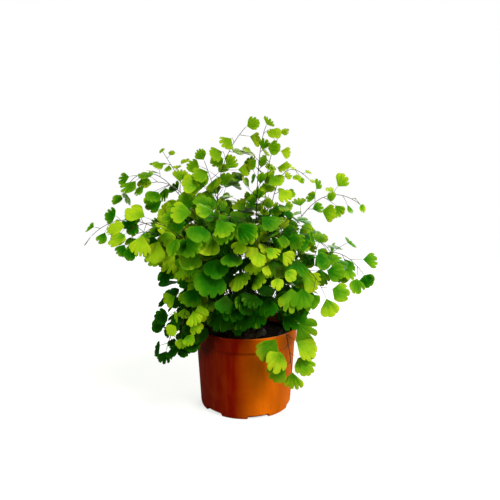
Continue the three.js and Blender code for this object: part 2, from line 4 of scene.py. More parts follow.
import bpy
import numpy as np
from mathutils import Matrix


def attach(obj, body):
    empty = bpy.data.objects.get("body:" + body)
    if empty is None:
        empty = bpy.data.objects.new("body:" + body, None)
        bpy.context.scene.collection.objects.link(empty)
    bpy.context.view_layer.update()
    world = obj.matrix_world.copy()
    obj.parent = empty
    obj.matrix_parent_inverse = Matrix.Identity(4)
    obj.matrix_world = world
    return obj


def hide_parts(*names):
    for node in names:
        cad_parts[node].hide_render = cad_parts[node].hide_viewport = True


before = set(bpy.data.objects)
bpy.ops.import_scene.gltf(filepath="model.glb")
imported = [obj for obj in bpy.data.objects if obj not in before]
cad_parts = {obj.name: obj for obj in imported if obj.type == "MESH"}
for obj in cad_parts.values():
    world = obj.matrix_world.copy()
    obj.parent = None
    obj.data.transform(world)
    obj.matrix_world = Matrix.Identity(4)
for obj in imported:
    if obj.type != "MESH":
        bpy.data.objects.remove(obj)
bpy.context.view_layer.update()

# ---- studio -----------------------------------------------------------------------------------
# A wide pale floor and a white surround. A key light stands high on the right, a broad one beside
# it lies low, a weak greenish one fills the left, and one behind shines through the leaflets.
# The camera looks slightly down on the pot.
CAMERA_PLACE = (0.0, -0.620, 0.293)
CAMERA_DOWN = 9.3  # degrees below the horizon
CAMERA_LENS = 37.3
CAMERA_SHIFT = 0.0085

camera = bpy.data.objects.new("camera", bpy.data.cameras.new("camera"))
bpy.context.collection.objects.link(camera)
camera.location = CAMERA_PLACE
camera.rotation_euler = (radians(90 - CAMERA_DOWN), 0, 0)
camera.data.lens = CAMERA_LENS
camera.data.shift_x = CAMERA_SHIFT
camera.data.clip_start = 0.01
bpy.context.scene.camera = camera
bpy.context.scene.view_settings.view_transform = "Standard"


def soft_light(name, place, target, size, power, colour):
    """A square area light at place, turned to face target, with its size in metres and its power
    in watts."""
    light = bpy.data.objects.new(name, bpy.data.lights.new(name, "AREA"))
    bpy.context.collection.objects.link(light)
    light.data.size = size
    light.data.energy = power
    light.data.color = colour
    light.location = place
    aim = np.subtract(target, place)
    light.rotation_euler = (np.arctan2(hypot(aim[0], aim[1]), -aim[2]), 0,
                            np.arctan2(aim[0], -aim[1]) + pi)


soft_light("key_light", (0.75, -0.85, 1.70), (0, 0, 0.2), 0.6, 42, (1.0, 0.96, 0.88))
soft_light("side_light", (1.35, -0.80, 0.40), (0, 0, 0.06), 2.0, 30, (1.0, 0.95, 0.76))
soft_light("fill_light", (-1.3, -0.9, 0.3), (-0.08, 0, 0.12), 0.4, 12, (0.60, 1.0, 0.38))
soft_light("back_light", (0.25, 1.3, 1.0), (0, 0, 0.2), 0.8, 24, (1.0, 0.98, 0.90))


class Nodes:
    """Builds up a node tree: a material's or a group's."""

    def __init__(self, tree):
        self.tree = tree

    def node(self, kind, inputs=None, **settings):
        """A node of one kind. inputs maps a socket's name or number to a value or an output."""
        made = self.tree.nodes.new("ShaderNode" + kind)
        for key, value in settings.items():
            setattr(made, key, value)
        for key, value in (inputs or {}).items():
            self.feed(made.inputs[key], value)
        return made

    def feed(self, socket, value):
        """Links an output to a socket, or sets the socket's own value."""
        if isinstance(value, bpy.types.NodeSocket):
            self.tree.links.new(value, socket)
        else:
            socket.default_value = value

    def math(self, operation, a, b=0.0):
        return self.node("Math", {0: a, 1: b}, operation=operation).outputs[0]

    def fade(self, value, low, high, to_low=0.0, to_high=1.0):
        """value carried from low..high to to_low..to_high, held at the ends."""
        return self.node("MapRange", {0: value, 1: low, 2: high, 3: to_low, 4: to_high}).outputs[0]

    def mix(self, share, a, b):
        """Colour a where share is 0, and b where it is 1."""
        return self.node("Mix", {0: share, 6: a, 7: b}, data_type="RGBA").outputs[2]

    def place(self):
        """The object coordinates, in metres."""
        return self.node("TexCoord").outputs["Object"]

    def apart(self, vector):
        """The three parts of a vector."""
        return self.node("SeparateXYZ", {0: vector}).outputs

    def total(self, first, *others):
        """The sum of some values."""
        for other in others:
            first = self.math("ADD", first, other)
        return first

    def product(self, first, *others):
        """The product of some values."""
        for other in others:
            first = self.math("MULTIPLY", first, other)
        return first

    def from_axis(self, place):
        """The distance of a place from the pot's axis."""
        x, y = self.apart(place)[:2]
        return self.math("SQRT", self.total(self.product(x, x), self.product(y, y)))


class Finish(Nodes):
    """A material. Its Principled shader is in .shader."""

    def __init__(self, name):
        self.material = bpy.data.materials.new(name)
        self.material.use_nodes = True
        super().__init__(self.material.node_tree)
        self.shader = self.tree.nodes["Principled BSDF"]

    def set(self, socket, value):
        self.feed(self.shader.inputs[socket], value)

    def bump(self, height, strength, distance):
        made = self.node("Bump", {"Strength": strength, "Distance": distance, "Height": height})
        self.set("Normal", made.outputs[0])


# the surround shows white, but lights the plant only a little
world = bpy.data.worlds.new("surround")
bpy.context.scene.world = world
world.use_nodes = True
world.node_tree.nodes.clear()
surround = Nodes(world.node_tree)
seen = surround.node("Background", {"Color": (1, 1, 1, 1)}).outputs[0]
lighting = surround.node("Background", {"Color": (0.12, 1.0, 0.15, 1), "Strength": 0.02}).outputs[0]
camera_ray = surround.node("LightPath").outputs["Is Camera Ray"]
either = surround.node("MixShader", {0: camera_ray, 1: lighting, 2: seen}).outputs[0]
surround.node("OutputWorld", {"Surface": either})

floor_finish = Finish("pale_floor")
floor_finish.set("Roughness", 0.9)
floor_reach = floor_finish.from_axis(floor_finish.place())
# it shows pale, but throws little light back up into the leaves; its glow is cut under the pot, a
# painted contact shadow there
floor_seen = floor_finish.node("LightPath").outputs["Is Camera Ray"]
floor_finish.set("Base Color", floor_finish.mix(
    floor_seen, (0.10, 0.10, 0.10, 1), (0.25, 0.25, 0.25, 1)))
floor_finish.set("Emission Color", (1, 1, 1, 1))
floor_finish.set("Emission Strength", floor_finish.product(
    floor_seen, floor_finish.fade(floor_reach, 0.047, 0.052),
    floor_finish.fade(floor_reach, 0.20, 0.50, 0.78, 1.0)))
floor_finish.set("Alpha", floor_finish.fade(floor_reach, 0.35, 1.3, 1, 0))
FLOOR_HALF = 6.0
floor_mesh = bpy.data.meshes.new("floor")
floor_mesh.from_pydata(
    [(x * FLOOR_HALF, y * FLOOR_HALF, 0) for x, y in ((-1, -1), (1, -1), (1, 1), (-1, 1))],
    [], [(0, 1, 2, 3)])
floor_mesh.materials.append(floor_finish.material)
floor = bpy.data.objects.new("floor", floor_mesh)
bpy.context.collection.objects.link(floor)

# ---- pot --------------------------------------------------------------------------------------
# A thin-walled, injection-moulded polypropylene nursery pot, 13 cm across the rim. A wider collar
# runs under the rim, and low drainage slots are moulded through the foot ring. Terracotta orange,
# satin, with faint flow marks, fine scratches, dried soil round its foot and near-black slot walls.
MM = 0.001  # shapes are worked out in millimetres
RIM_RADIUS = 63.5
BASE_RADIUS = 55.8
POT_HEIGHT = 100.0
COLLAR_LOW = 83.0
FLOOR = 1.6  # its thickness
CHANNEL_RISE = 2.5  # the ring channel under the floor stands this far off the table
CHANNEL_INSIDE = 22.0  # its radii, underneath
CHANNEL_OUTSIDE = 39.0
SLOT_COUNT = 6  # drainage slots through the foot ring
FIRST_SLOT = -74.0  # degrees
SLOT_WIDTH = 25.0
SLOT_HEIGHT = 4.5
SLOT_INNER = BASE_RADIUS - 6
SLOT_LEAN = 1.8  # each side of a slot leans in by this much
POT_COLUMNS = 192


def mesh_piece(name, points, faces, materials, uv=None, face_material=None, growth=None):
    """A smooth-shaded piece from arrays: points (n, 3) in millimetres; faces, a list of (m, 3) or
    (m, 4) index arrays; uv, one (m, k, 2) array for each of them; face_material, one number for
    each of them; growth, (n, 3) values for the attribute of that name. The object sits at the
    origin."""
    mesh = bpy.data.meshes.new(name)
    mesh.from_pydata(points * MM, [], [face for group in faces for face in group.tolist()],
                     shade_flat=False)
    for material in materials:
        mesh.materials.append(material)
    if face_material is not None:
        numbers = np.concatenate([np.full(len(f), k) for f, k in zip(faces, face_material)])
        mesh.polygons.foreach_set("material_index", numbers)
    if uv is not None:
        layer = mesh.uv_layers.new(name="UVMap")
        layer.data.foreach_set("uv", np.concatenate([u.reshape(-1, 2) for u in uv]).ravel())
    if growth is not None:
        values = mesh.attributes.new("growth", "FLOAT_VECTOR", "POINT").data
        values.foreach_set("vector", growth.ravel())
    mesh.validate()
    mesh.set_sharp_from_angle(angle=radians(75))
    piece = bpy.data.objects.new(name, mesh)
    bpy.context.collection.objects.link(piece)
    return piece


def ring_faces(rows, columns):
    """Quads of a grid whose columns close on themselves: row r, column c joins row r + 1."""
    r, c = np.meshgrid(np.arange(rows - 1), np.arange(columns), indexing="ij")
    d = (c + 1) % columns
    return np.stack([r * columns + c, r * columns + d, (r + 1) * columns + d,
                     (r + 1) * columns + c], -1).reshape(-1, 4)


def turned_piece(name, grid, material):
    """A piece from a surface of revolution (rows, columns, 3), closed by a flat cap at its first
    and at its last row."""
    rows, columns = grid.shape[:2]
    ends = np.arange(columns)[::-1][None], (np.arange(columns) + (rows - 1) * columns)[None]
    return mesh_piece(name, grid.reshape(-1, 3), [ring_faces(rows, columns), *ends], [material])


def rounded(profile, step=1.2, soft=0.45):
    """A profile of (radius, height) points with each corner cut back by soft and eased by a
    quadratic curve, then filled in to pieces no longer than step."""
    p = np.asarray(profile, float)
    line = [p[:1]]
    for a, b, c in zip(p[:-2], p[1:-1], p[2:]):
        cut = min(soft, np.linalg.norm(b - a) * 0.45, np.linalg.norm(c - b) * 0.45)
        start = b + (a - b) / np.linalg.norm(a - b) * cut
        end = b + (c - b) / np.linalg.norm(c - b) * cut
        t = np.linspace(0, 1, 5)[:, None]
        line.append((1 - t) ** 2 * start + 2 * t * (1 - t) * b + t ** 2 * end)
    line.append(p[-1:])
    line = np.concatenate(line)
    filled = []
    for a, b in zip(line[:-1], line[1:]):
        n = max(1, int(ceil(np.linalg.norm(b - a) / step)))
        filled.append(a + (b - a) * np.linspace(0, 1, n, endpoint=False)[:, None])
    return np.concatenate(filled + [line[-1:]])


def full_turn(n):
    """n even steps of a full turn, as angles from 0."""
    return np.arange(n) * 2 * pi / n


def turned(profile, columns):
    """The surface of revolution of a profile: (radius, height) at each angle about Z, as points
    (rows, columns, 3) with rows along the profile and columns round the axis."""
    angle = full_turn(columns)
    r, z = profile[:, :1], profile[:, 1:]
    return np.stack([r * np.cos(angle), r * np.sin(angle), z + 0 * angle], -1)


# The profile runs from the middle of the underside up the outside, over the rim and down the
# inside to the middle of the floor.
pot_under = [
    (0.01, 0), (CHANNEL_INSIDE - 3, 0), (CHANNEL_INSIDE, CHANNEL_RISE),
    (CHANNEL_OUTSIDE, CHANNEL_RISE), (CHANNEL_OUTSIDE + 3, 0), (SLOT_INNER - 0.2, 0),
    (SLOT_INNER, 0), (BASE_RADIUS - 1.2, 0)]
pot_outside = [
    (BASE_RADIUS, 0.8), (BASE_RADIUS + 0.5, 4),
    (RIM_RADIUS - 2.7, COLLAR_LOW - 1.4), (RIM_RADIUS - 1.4, COLLAR_LOW - 0.4),
    (RIM_RADIUS - 1, COLLAR_LOW + 0.4), (RIM_RADIUS - 0.25, POT_HEIGHT - 2.6),
    (RIM_RADIUS, POT_HEIGHT - 1.2), (RIM_RADIUS - 0.6, POT_HEIGHT)]
pot_inside = [
    (RIM_RADIUS - 1.7, POT_HEIGHT), (RIM_RADIUS - 2.1, POT_HEIGHT - 3),
    (RIM_RADIUS - 2.8, COLLAR_LOW), (RIM_RADIUS - 4.3, COLLAR_LOW - 4), (BASE_RADIUS - 1, 5),
    (BASE_RADIUS - 2.6, FLOOR)]
pot_floor = [
    (CHANNEL_OUTSIDE + 2, FLOOR), (CHANNEL_OUTSIDE - 1, CHANNEL_RISE + FLOOR),
    (CHANNEL_INSIDE + 1, CHANNEL_RISE + FLOOR), (CHANNEL_INSIDE - 2, FLOOR), (0.01, FLOOR)]
grid = turned(rounded(pot_under + pot_outside + pot_inside + pot_floor), POT_COLUMNS)
# In a slot the foot ring is lifted by an arch with short slanted ends.
angle = full_turn(POT_COLUMNS)
arch = np.zeros(POT_COLUMNS)
for k in range(SLOT_COUNT):
    turn = radians(FIRST_SLOT + 360 / SLOT_COUNT * k)
    off = np.abs((angle - turn + pi) % (2 * pi) - pi) * BASE_RADIUS
    arch = np.maximum(arch, np.clip(((SLOT_WIDTH + SLOT_LEAN) / 2 - off) / SLOT_LEAN, 0, 1))
radius = np.hypot(grid[..., 0], grid[..., 1])
low = (grid[..., 2] < SLOT_HEIGHT) & (radius > SLOT_INNER - 0.1)
outer = low & (np.arange(len(grid))[:, None] < len(grid) // 2)
lift = np.where(outer, SLOT_HEIGHT - grid[..., 2], np.where(low, SLOT_HEIGHT - 0.2, 0))
grid[..., 2] += lift * arch


class Effect(Nodes):
    """A shader node group. inputs and outputs map a socket's name to its kind. What the group is
    given is in .given, and what it puts out is fed to .result."""

    def __init__(self, name, inputs, outputs):
        super().__init__(bpy.data.node_groups.new(name, "ShaderNodeTree"))
        for way, sockets in (("INPUT", inputs), ("OUTPUT", outputs)):
            for socket, kind in sockets.items():
                self.tree.interface.new_socket(
                    socket, in_out=way, socket_type="NodeSocket" + kind)
        self.given = self.tree.nodes.new("NodeGroupInput").outputs
        self.result = self.tree.nodes.new("NodeGroupOutput").inputs

    def place_in(self, finish, **values):
        """Puts the group in a material and returns its outputs."""
        return finish.node("Group", values, node_tree=self.tree).outputs


# Mottle: soft blotches of a noise, from 0 where it is under Low to 1 where it is over High.
mottle = Effect("mottle", {"Place": "Vector", "Scale": "Float", "Detail": "Float",
                           "Low": "Float", "High": "Float"}, {"Mask": "Float", "Noise": "Float"})
mottle_noise = mottle.node("TexNoise", {
    "Vector": mottle.given["Place"], "Scale": mottle.given["Scale"],
    "Detail": mottle.given["Detail"], "Roughness": 0.6}).outputs[0]
mottle.feed(mottle.result["Mask"],
            mottle.fade(mottle_noise, mottle.given["Low"], mottle.given["High"]))
mottle.feed(mottle.result["Noise"], mottle_noise)

# Splashed soil: fine dried specks that thin out from the height Low to the height High.
splash = Effect("splashed_soil", {"Place": "Vector", "Low": "Float", "High": "Float",
                                  "Amount": "Float"}, {"Mask": "Float"})
splash_specks = splash.node("TexNoise", {
    "Vector": splash.given["Place"], "Scale": 420.0, "Detail": 2.0, "Roughness": 0.7}).outputs[0]
splash_height = splash.apart(splash.given["Place"])[2]
splash_fade = splash.fade(splash_height, splash.given["Low"], splash.given["High"], 1.0, 0.0)
splash.feed(splash.result["Mask"], splash.product(
    splash.given["Amount"], splash_fade, splash.fade(splash_specks, 0.56, 0.68)))
DRY_SOIL = (0.09, 0.045, 0.02, 1)

# painted shade and light: a shaded, redder copy and a lit, orange copy of the pot's colour
SHADED_TERRACOTTA = (0.22, 0.002, 0.0002, 1)
LIT_TERRACOTTA = (0.86, 0.170, 0.0006, 1)
FLOW_MARK = (0.50, 0.050, 0.0005, 1)
SLOT_DARK = (0.012, 0.007, 0.004, 1)
pot_finish = Finish("terracotta_polypropylene")
where = pot_finish.place()
pot_x, pot_y, pot_z = pot_finish.apart(where)
pot_reach = pot_finish.from_axis(where)
streak_place = pot_finish.node("Mapping", {0: where, "Scale": (1, 1, 0.12)}).outputs[0]
cloud = mottle.place_in(pot_finish, Place=where, Scale=26.0, Detail=4.0, Low=0.35, High=0.7)
flow = mottle.place_in(pot_finish, Place=streak_place, Scale=160.0, Detail=3.0, Low=0.45,
                       High=0.75)
# painted shade and light: redder and darker on the front-left, the side in the plant's shade, and
# orange on the lit side, with the cloud mottle moving the edge a little
to_light = pot_finish.total(pot_finish.product(pot_x, 0.75), pot_finish.product(pot_y, 0.66))
lit_side = pot_finish.total(pot_finish.fade(to_light, -0.049, -0.018),
                            pot_finish.fade(cloud["Mask"], 0, 1, -0.08, 0.08))
colour = pot_finish.mix(lit_side, SHADED_TERRACOTTA, LIT_TERRACOTTA)
colour = pot_finish.mix(pot_finish.product(flow["Mask"], 0.25), colour, FLOW_MARK)
dust = splash.place_in(pot_finish, Place=where, Low=0.004, High=0.03, Amount=0.5)
colour = pot_finish.mix(dust["Mask"], colour, DRY_SOIL)
# the walls of the slots are darkened to near black
in_slot = pot_finish.product(
    pot_finish.math("GREATER_THAN", pot_reach, (SLOT_INNER - 0.6) * MM),
    pot_finish.math("LESS_THAN", pot_reach, (BASE_RADIUS - 1.3) * MM),
    pot_finish.math("GREATER_THAN", pot_z, 0.6 * MM),
    pot_finish.math("LESS_THAN", pot_z, (SLOT_HEIGHT + 0.5) * MM))
pot_finish.set("Base Color", pot_finish.mix(in_slot, colour, SLOT_DARK))
scratch_place = pot_finish.node("Mapping", {0: where, "Scale": (1, 1, 14),
                                            "Rotation": (0.1, 0.06, 0)}).outputs[0]
scratch = mottle.place_in(pot_finish, Place=scratch_place, Scale=90.0, Detail=2.0, Low=0.6,
                          High=0.75)
pot_finish.set("Roughness", pot_finish.total(pot_finish.fade(cloud["Mask"], 0, 1, 0.36, 0.46),
                                             pot_finish.product(scratch["Mask"], 0.12)))
pot_finish.set("Specular IOR Level", 0.20)
pot_finish.set("Specular Tint", (1.0, 0.45, 0.12, 1))
grain = mottle.place_in(pot_finish, Place=where, Scale=900.0, Detail=2.0, Low=0.3, High=0.7)
pot_finish.bump(pot_finish.total(pot_finish.product(grain["Noise"], 0.35),
                                 pot_finish.product(flow["Noise"], 0.5)), 0.35, 0.0002)

pot = turned_piece("nursery_pot", grid, pot_finish.material)
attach(pot, "root")
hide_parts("pot")

# ---- potting soil -----------------------------------------------------------------------------
# Damp peat-based soil that fills the pot to about a finger's width under the rim. Its top is a
# crumbly crust, loosely mounded round the crown; the rest takes the shape of the pot's inside.
SOIL_TOP = 88.0
SOIL_RADIUS = RIM_RADIUS - 3.1
SOIL_COLUMNS = 160
CRUST_ROWS = 71
MOUND_HEIGHT = 0.9
MOUND_RADIUS = 34


def lumps(x, y, size, seed):
    """Smooth value noise from 0 to 1: a lattice of fixed pseudo-random values size apart, blended
    between its four nearest points by an eased weight."""
    u, w = x / size, y / size
    i, j = np.floor(u).astype(int), np.floor(w).astype(int)
    s, t = u - i, w - j
    s, t = s * s * (3 - 2 * s), t * t * (3 - 2 * t)

    def lattice(a, b):
        h = np.sin(a * 127.1 + b * 311.7 + seed * 74.7) * 43758.5453
        return h - np.floor(h)

    return ((lattice(i, j) * (1 - s) + lattice(i + 1, j) * s) * (1 - t)
            + (lattice(i, j + 1) * (1 - s) + lattice(i + 1, j + 1) * s) * t)


# under and beside the soil, the pot's inside with a small gap; then its crust, to the middle
SOIL_GAP = 0.35
soil_side = rounded(
    [(r, z + SOIL_GAP) for r, z in reversed(pot_floor)]
    + [(BASE_RADIUS - 3.2, FLOOR + SOIL_GAP), (BASE_RADIUS - 1.5, 5.2),
       (RIM_RADIUS - 4.8, COLLAR_LOW - 4), (RIM_RADIUS - 3.3, COLLAR_LOW),
       (SOIL_RADIUS, SOIL_TOP - 2.2)], step=6)
crust_radius = np.linspace(SOIL_RADIUS, 0.01, CRUST_ROWS + 1)[1:]
crust = np.stack([crust_radius, np.full(CRUST_ROWS, SOIL_TOP - 1.2)], -1)
grid = turned(np.concatenate([soil_side, crust]), SOIL_COLUMNS)
top = grid[len(soil_side):]
x, y = top[..., 0], top[..., 1]
# coarse, middling and fine crumbs, and a low mound over the crown
crumbs = sum((lumps(x, y, size, seed) - 0.5) * height
             for size, seed, height in ((9, 1, 2.0), (3.4, 2, 1.9), (1.5, 3, 1.1)))
top[..., 2] += crumbs + MOUND_HEIGHT * np.exp(-(np.hypot(x, y) / MOUND_RADIUS) ** 2)

WET_PEAT = (0.003, 0.0018, 0.001, 1)
DAMP_PEAT = (0.012, 0.006, 0.0035, 1)
soil_finish = Finish("damp_potting_soil")
where = soil_finish.place()
grit = mottle.place_in(soil_finish, Place=where, Scale=380.0, Detail=5.0, Low=0.62, High=0.72)
clump = mottle.place_in(soil_finish, Place=where, Scale=110.0, Detail=4.0, Low=0.35, High=0.7)
colour = soil_finish.mix(clump["Mask"], WET_PEAT, DAMP_PEAT)
fibre = soil_finish.product(grit["Mask"], 0.2)
soil_finish.set("Base Color", soil_finish.mix(fibre, colour, DRY_SOIL))
soil_finish.set("Roughness", soil_finish.fade(clump["Mask"], 0, 1, 0.75, 0.95))
soil_finish.set("Specular IOR Level", 0.03)
soil_finish.bump(soil_finish.total(grit["Noise"], clump["Noise"]), 0.9, 0.0012)

soil = turned_piece("soil_bed", grid, soil_finish.material)
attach(soil, "root")
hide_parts("potting_soil")

# ---- rhizome ----------------------------------------------------------------------------------
# The rootstock that all the stems grow from: a low dark dome, knobbly with old leaf bases and
# covered in brown scales.
CROWN_RADIUS = 26.0
CROWN_LOW = SOIL_TOP - 5.8
DOME_RADIUS = 40.0
DOME_ROWS, DOME_COLUMNS = 40, 120
DOME_CENTRE = SOIL_TOP - sqrt(DOME_RADIUS ** 2 - CROWN_RADIUS ** 2)

under = [(0.01, CROWN_LOW), (CROWN_RADIUS - 0.4, CROWN_LOW)]
dome_radius = np.linspace(CROWN_RADIUS, 0.01, DOME_ROWS)
dome = np.stack([dome_radius, DOME_CENTRE + np.sqrt(DOME_RADIUS ** 2 - dome_radius ** 2)], -1)
grid = turned(np.concatenate([under, dome]), DOME_COLUMNS)
# the old leaf bases stand up as knobs, and the scales roughen them; the edge stays even
top = grid[len(under) + 1:]
x, y = top[..., 0], top[..., 1]
knobs = lumps(x, y, 4.6, 7) ** 2 * 1.9 + (lumps(x, y, 1.7, 8) - 0.5) * 0.8
top[..., 2] += knobs - 0.7

SCALE_BROWN = (0.055, 0.030, 0.016, 1)
SCALE_EDGE = (0.012, 0.007, 0.004, 1)
rhizome_finish = Finish("scaly_rhizome")
where = rhizome_finish.place()
scale_cells = rhizome_finish.node("TexVoronoi", {"Vector": where, "Scale": 620.0}).outputs[0]
colour = rhizome_finish.mix(rhizome_finish.fade(scale_cells, 0.1, 0.7), SCALE_BROWN, SCALE_EDGE)
dust = splash.place_in(rhizome_finish, Place=where, Low=0.086, High=0.102, Amount=0.8)
rhizome_finish.set("Base Color", rhizome_finish.mix(dust["Mask"], colour, DRY_SOIL))
rhizome_finish.set("Roughness", 0.7)
rhizome_finish.bump(scale_cells, 0.7, 0.0008)

rhizome = turned_piece("scaly_rhizome", grid, rhizome_finish.material)
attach(rhizome, "root")
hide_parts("rhizome")

# ---- how the fronds grow ----------------------------------------------------------------------
# Every frond has a wiry stem that rises from the rhizome and arches over, side branches left and
# right in turn, and fan-shaped leaflets along each branch and at its end. Leaflets that would run
# into another frond turn, tilt or stay small, as they do when the plant fills its space.

# One row a frond, in degrees and millimetres. turn: the way it leans; ring: how far out its foot
# stands; out, high: its shoulder; reach, tip: its end; sway: sideways offset of the end; bare:
# share of the stem with no leaflets; n: number of side branches; span: length of the lowest;
# leaf: length of its leaflets; tone: 0 dark to 1 lime; loose: how unevenly the leaflets face.
FROND_ROWS = [
    (180, 5, 68, 262, 0, 337, 0, 0.5, 11, 38, 20, 0.55, 0.7),
    (2, 5, 8, 304, 24, 339, 0, 0.56, 10, 32, 18, 0.6, 0.7),
    (15, 9, 24, 330, 80, 276, 0, 0.52, 10, 24, 12, 0.8, 0.8),
    (-15, 9, 14, 300, 42, 328, 0, 0.55, 9, 28, 16, 0.75, 0.8),
    (-6, 12, 70, 296, 134, 248, 0, 0.6, 8, 24, 17, 0.6, 0.85),
    (-12, 20, 90, 236, 140, 168, 0, 0.5, 8, 32, 20, 0.5, 0.7),
    (8, 16, 78, 240, 112, 180, 10, 0.5, 6, 32, 20, 0.5, 0.6),
    (-37, 20, 72, 222, 110, 150, 0, 0.45, 7, 34, 26, 0.62, 0.35),
    (-34, 14, 58, 228, 88, 186, 0, 0.45, 6, 34, 25, 0.4, 0.45),
    (-53, 20, 64, 176, 86, 66, 0, 0.52, 6, 17, 28, 0.85, 0.4),
    (182, 14, 120, 272, 184, 210, 0, 0.5, 9, 28, 20, 0.45, 0.7),
    (176, 10, 104, 344, 150, 258, 0, 0.5, 9, 34, 23, 0.45, 0.7),
    (164, 8, 75, 264, 106, 309, 0, 0.88, 3, 12, 12, 0.7, 0.6),
    (202, 14, 90, 262, 142, 219, 0, 0.5, 8, 36, 25, 0.95, 0.45),
    (207, 18, 78, 242, 118, 198, 0, 0.5, 7, 34, 20, 0.9, 0.45),
    (192, 18, 104, 252, 142, 204, 0, 0.52, 7, 28, 20, 0.25, 0.5),
    (214, 18, 76, 232, 94, 198, 0, 0.45, 7, 32, 22, 0.55, 0.45),
    (223, 22, 84, 206, 98, 104, 0, 0.44, 9, 24, 17, 0.95, 0.45),
    (200, 22, 80, 186, 90, 92, 0, 0.48, 8, 27, 19, 0.15, 0.6),
    (213, 21, 76, 172, 94, 90, 0, 0.45, 7, 30, 20, 0.2, 0.6),
    (239, 20, 54, 178, 82, 138, 0, 0.45, 7, 28, 25, 0.1, 0.4),
    (262, 22, 44, 150, 66, 118, 0, 0.5, 4, 14, 13, 0.45, 0.5),
    (254, 19, 52, 186, 76, 156, 0, 0.42, 6, 32, 26, 0.08, 0.4),
    (287, 20, 52, 184, 74, 150, 0, 0.42, 7, 28, 25, 0.1, 0.45),
    (270, 18, 48, 192, 70, 158, 0, 0.42, 7, 28, 25, 0.05, 0.4),
    (308, 20, 54, 188, 80, 146, 0, 0.42, 7, 28, 25, 0.08, 0.45),
    (292, 13, 64, 262, 88, 176, 0, 0.5, 8, 24, 20, 0.95, 0.5),
    (279, 10, 54, 246, 86, 204, 0, 0.48, 7, 32, 23, 0.85, 0.4),
    (226, 10, 66, 262, 104, 218, 0, 0.45, 8, 40, 24, 0.45, 0.4),
    (241, 12, 58, 268, 92, 232, 0, 0.45, 8, 40, 26, 0.5, 0.4),
    (256, 8, 50, 266, 88, 232, 0, 0.45, 8, 40, 26, 0.42, 0.4),
    (272, 6, 46, 270, 80, 230, 0, 0.45, 8, 38, 25, 0.48, 0.4),
    (302, 9, 48, 262, 76, 220, 0, 0.45, 8, 38, 24, 0.45, 0.4),
    (320, 9, 48, 258, 76, 216, 0, 0.45, 8, 36, 24, 0.38, 0.4),
    (340, 12, 46, 254, 70, 210, 0, 0.45, 7, 34, 22, 0.4, 0.4),
    (30, 16, 46, 262, 76, 206, 0, 0.45, 8, 36, 24, 0.4, 0.45),
    (56, 10, 56, 268, 96, 214, 0, 0.45, 8, 40, 24, 0.4, 0.45),
    (80, 16, 78, 250, 120, 176, 0, 0.45, 8, 42, 24, 0.4, 0.45),
    (100, 10, 64, 270, 110, 216, 0, 0.45, 8, 42, 24, 0.4, 0.45),
    (122, 15, 80, 250, 126, 180, 0, 0.45, 8, 42, 24, 0.4, 0.45),
    (143, 12, 76, 262, 118, 206, 0, 0.45, 8, 42, 24, 0.4, 0.45),
    (160, 17, 84, 240, 112, 202, 0, 0.45, 8, 34, 22, 0.35, 0.45),
    (46, 21, 70, 186, 100, 98, 0, 0.45, 7, 36, 22, 0.35, 0.45),
    (112, 21, 76, 190, 108, 96, 0, 0.45, 7, 36, 22, 0.35, 0.45),
    (78, 22, 70, 182, 104, 92, 0, 0.45, 7, 36, 22, 0.35, 0.45),
    (146, 22, 78, 186, 110, 100, 0, 0.45, 7, 36, 22, 0.3, 0.45),
    (92, 5, 40, 276, 74, 236, 0, 0.45, 7, 38, 22, 0.45, 0.45),
    (178, 12, 60, 256, 96, 230, 0, 0.45, 8, 38, 23, 0.42, 0.45),
    (58, 21, 34, 160, 50, 136, 0, 0.3, 6, 26, 22, 0.25, 0.45),
    (102, 21, 36, 152, 52, 126, 0, 0.3, 6, 26, 22, 0.25, 0.45),
    (132, 21, 38, 162, 56, 134, 0, 0.3, 6, 26, 22, 0.25, 0.45),
    (168, 21, 42, 166, 62, 130, 0, 0.3, 6, 28, 22, 0.2, 0.45),
    (20, 21, 40, 162, 60, 132, 0, 0.3, 6, 28, 22, 0.2, 0.45),
    (207, 22, 80, 166, 103, 82, 0, 0.45, 8, 28, 20, 0.15, 0.6),
    (172, 6, 38, 268, 50, 298, 0, 0.55, 8, 28, 20, 0.5, 0.6),
    (186, 9, 66, 296, 118, 270, 0, 0.45, 8, 32, 22, 0.5, 0.5),
    (262, 14, 34, 160, 52, 172, 0, 0.4, 7, 34, 24, 0.08, 0.5),
]
FOOT_GAP = 0.35  # between the dome of the rhizome and the foot of a stem
TURN_STEP = 1.6  # degrees that a stem turns to miss another stem
FOOT_STEP = 1.4  # distance that its foot moves to do so
BRANCH_ANGLE = 56  # degrees between a stem and its side branches, on the average
BRANCH_TURN = 14  # degrees that a side branch turns to miss its neighbours
TIP_SHARE = 0.28  # length of the uppermost side branch as a share of the lowest
LEAF_ANGLE = 52  # degrees between a side branch and its leaflets, on the average
LEAF_INTERVAL = 0.62  # leaflets on a branch are this share of their length apart
BARE_SHARE = 0.28  # share of a side branch before its first leaflet
LEAF_CENTRE, LEAF_REACH = 0.52, 0.54  # middle and radius of the plate that stands for a leaflet
POT_HEADROOM = 4  # leaflets stay this far above the rim ...
POT_MARGIN = 3.5  # ... or this far outside it
STEM_SPACING = 1.9  # least distance between the centre lines of two fronds' stems
LEAF_SPACING = 1.1  # least distance between two fronds' leaflets
OWN_LEAF_SPACING = 0.5  # least distance between the leaflets of one frond's branches
STEM_CLEARANCE = 1.5  # least distance of a leaflet from another frond's stem
BRANCH_CLEARANCE = 1.2  # least distance of a leaflet from another frond's side branch
BRANCH_SPACING = 1.9  # least distance between side branches, and from them to stems
UP = np.array([0.0, 0.0, 1.0])
LIGHT = np.array([0.0, -1.0, 0.0])  # the side that the plant grew towards


class Stream:
    """A steady stream of numbers between 0 and 1 for one seed."""

    def __init__(self, seed):
        self.state = (seed * 7919 + 12345) % 2147483647
        for _ in range(4):
            self.next()

    def next(self):
        self.state = self.state * 16807 % 2147483647
        return self.state / 2147483647

    def spread(self):
        return 2 * self.next() - 1


def unit(vector):
    """The vector, or each of an array of them, made one long."""
    return vector / np.linalg.norm(vector, axis=-1, keepdims=True)


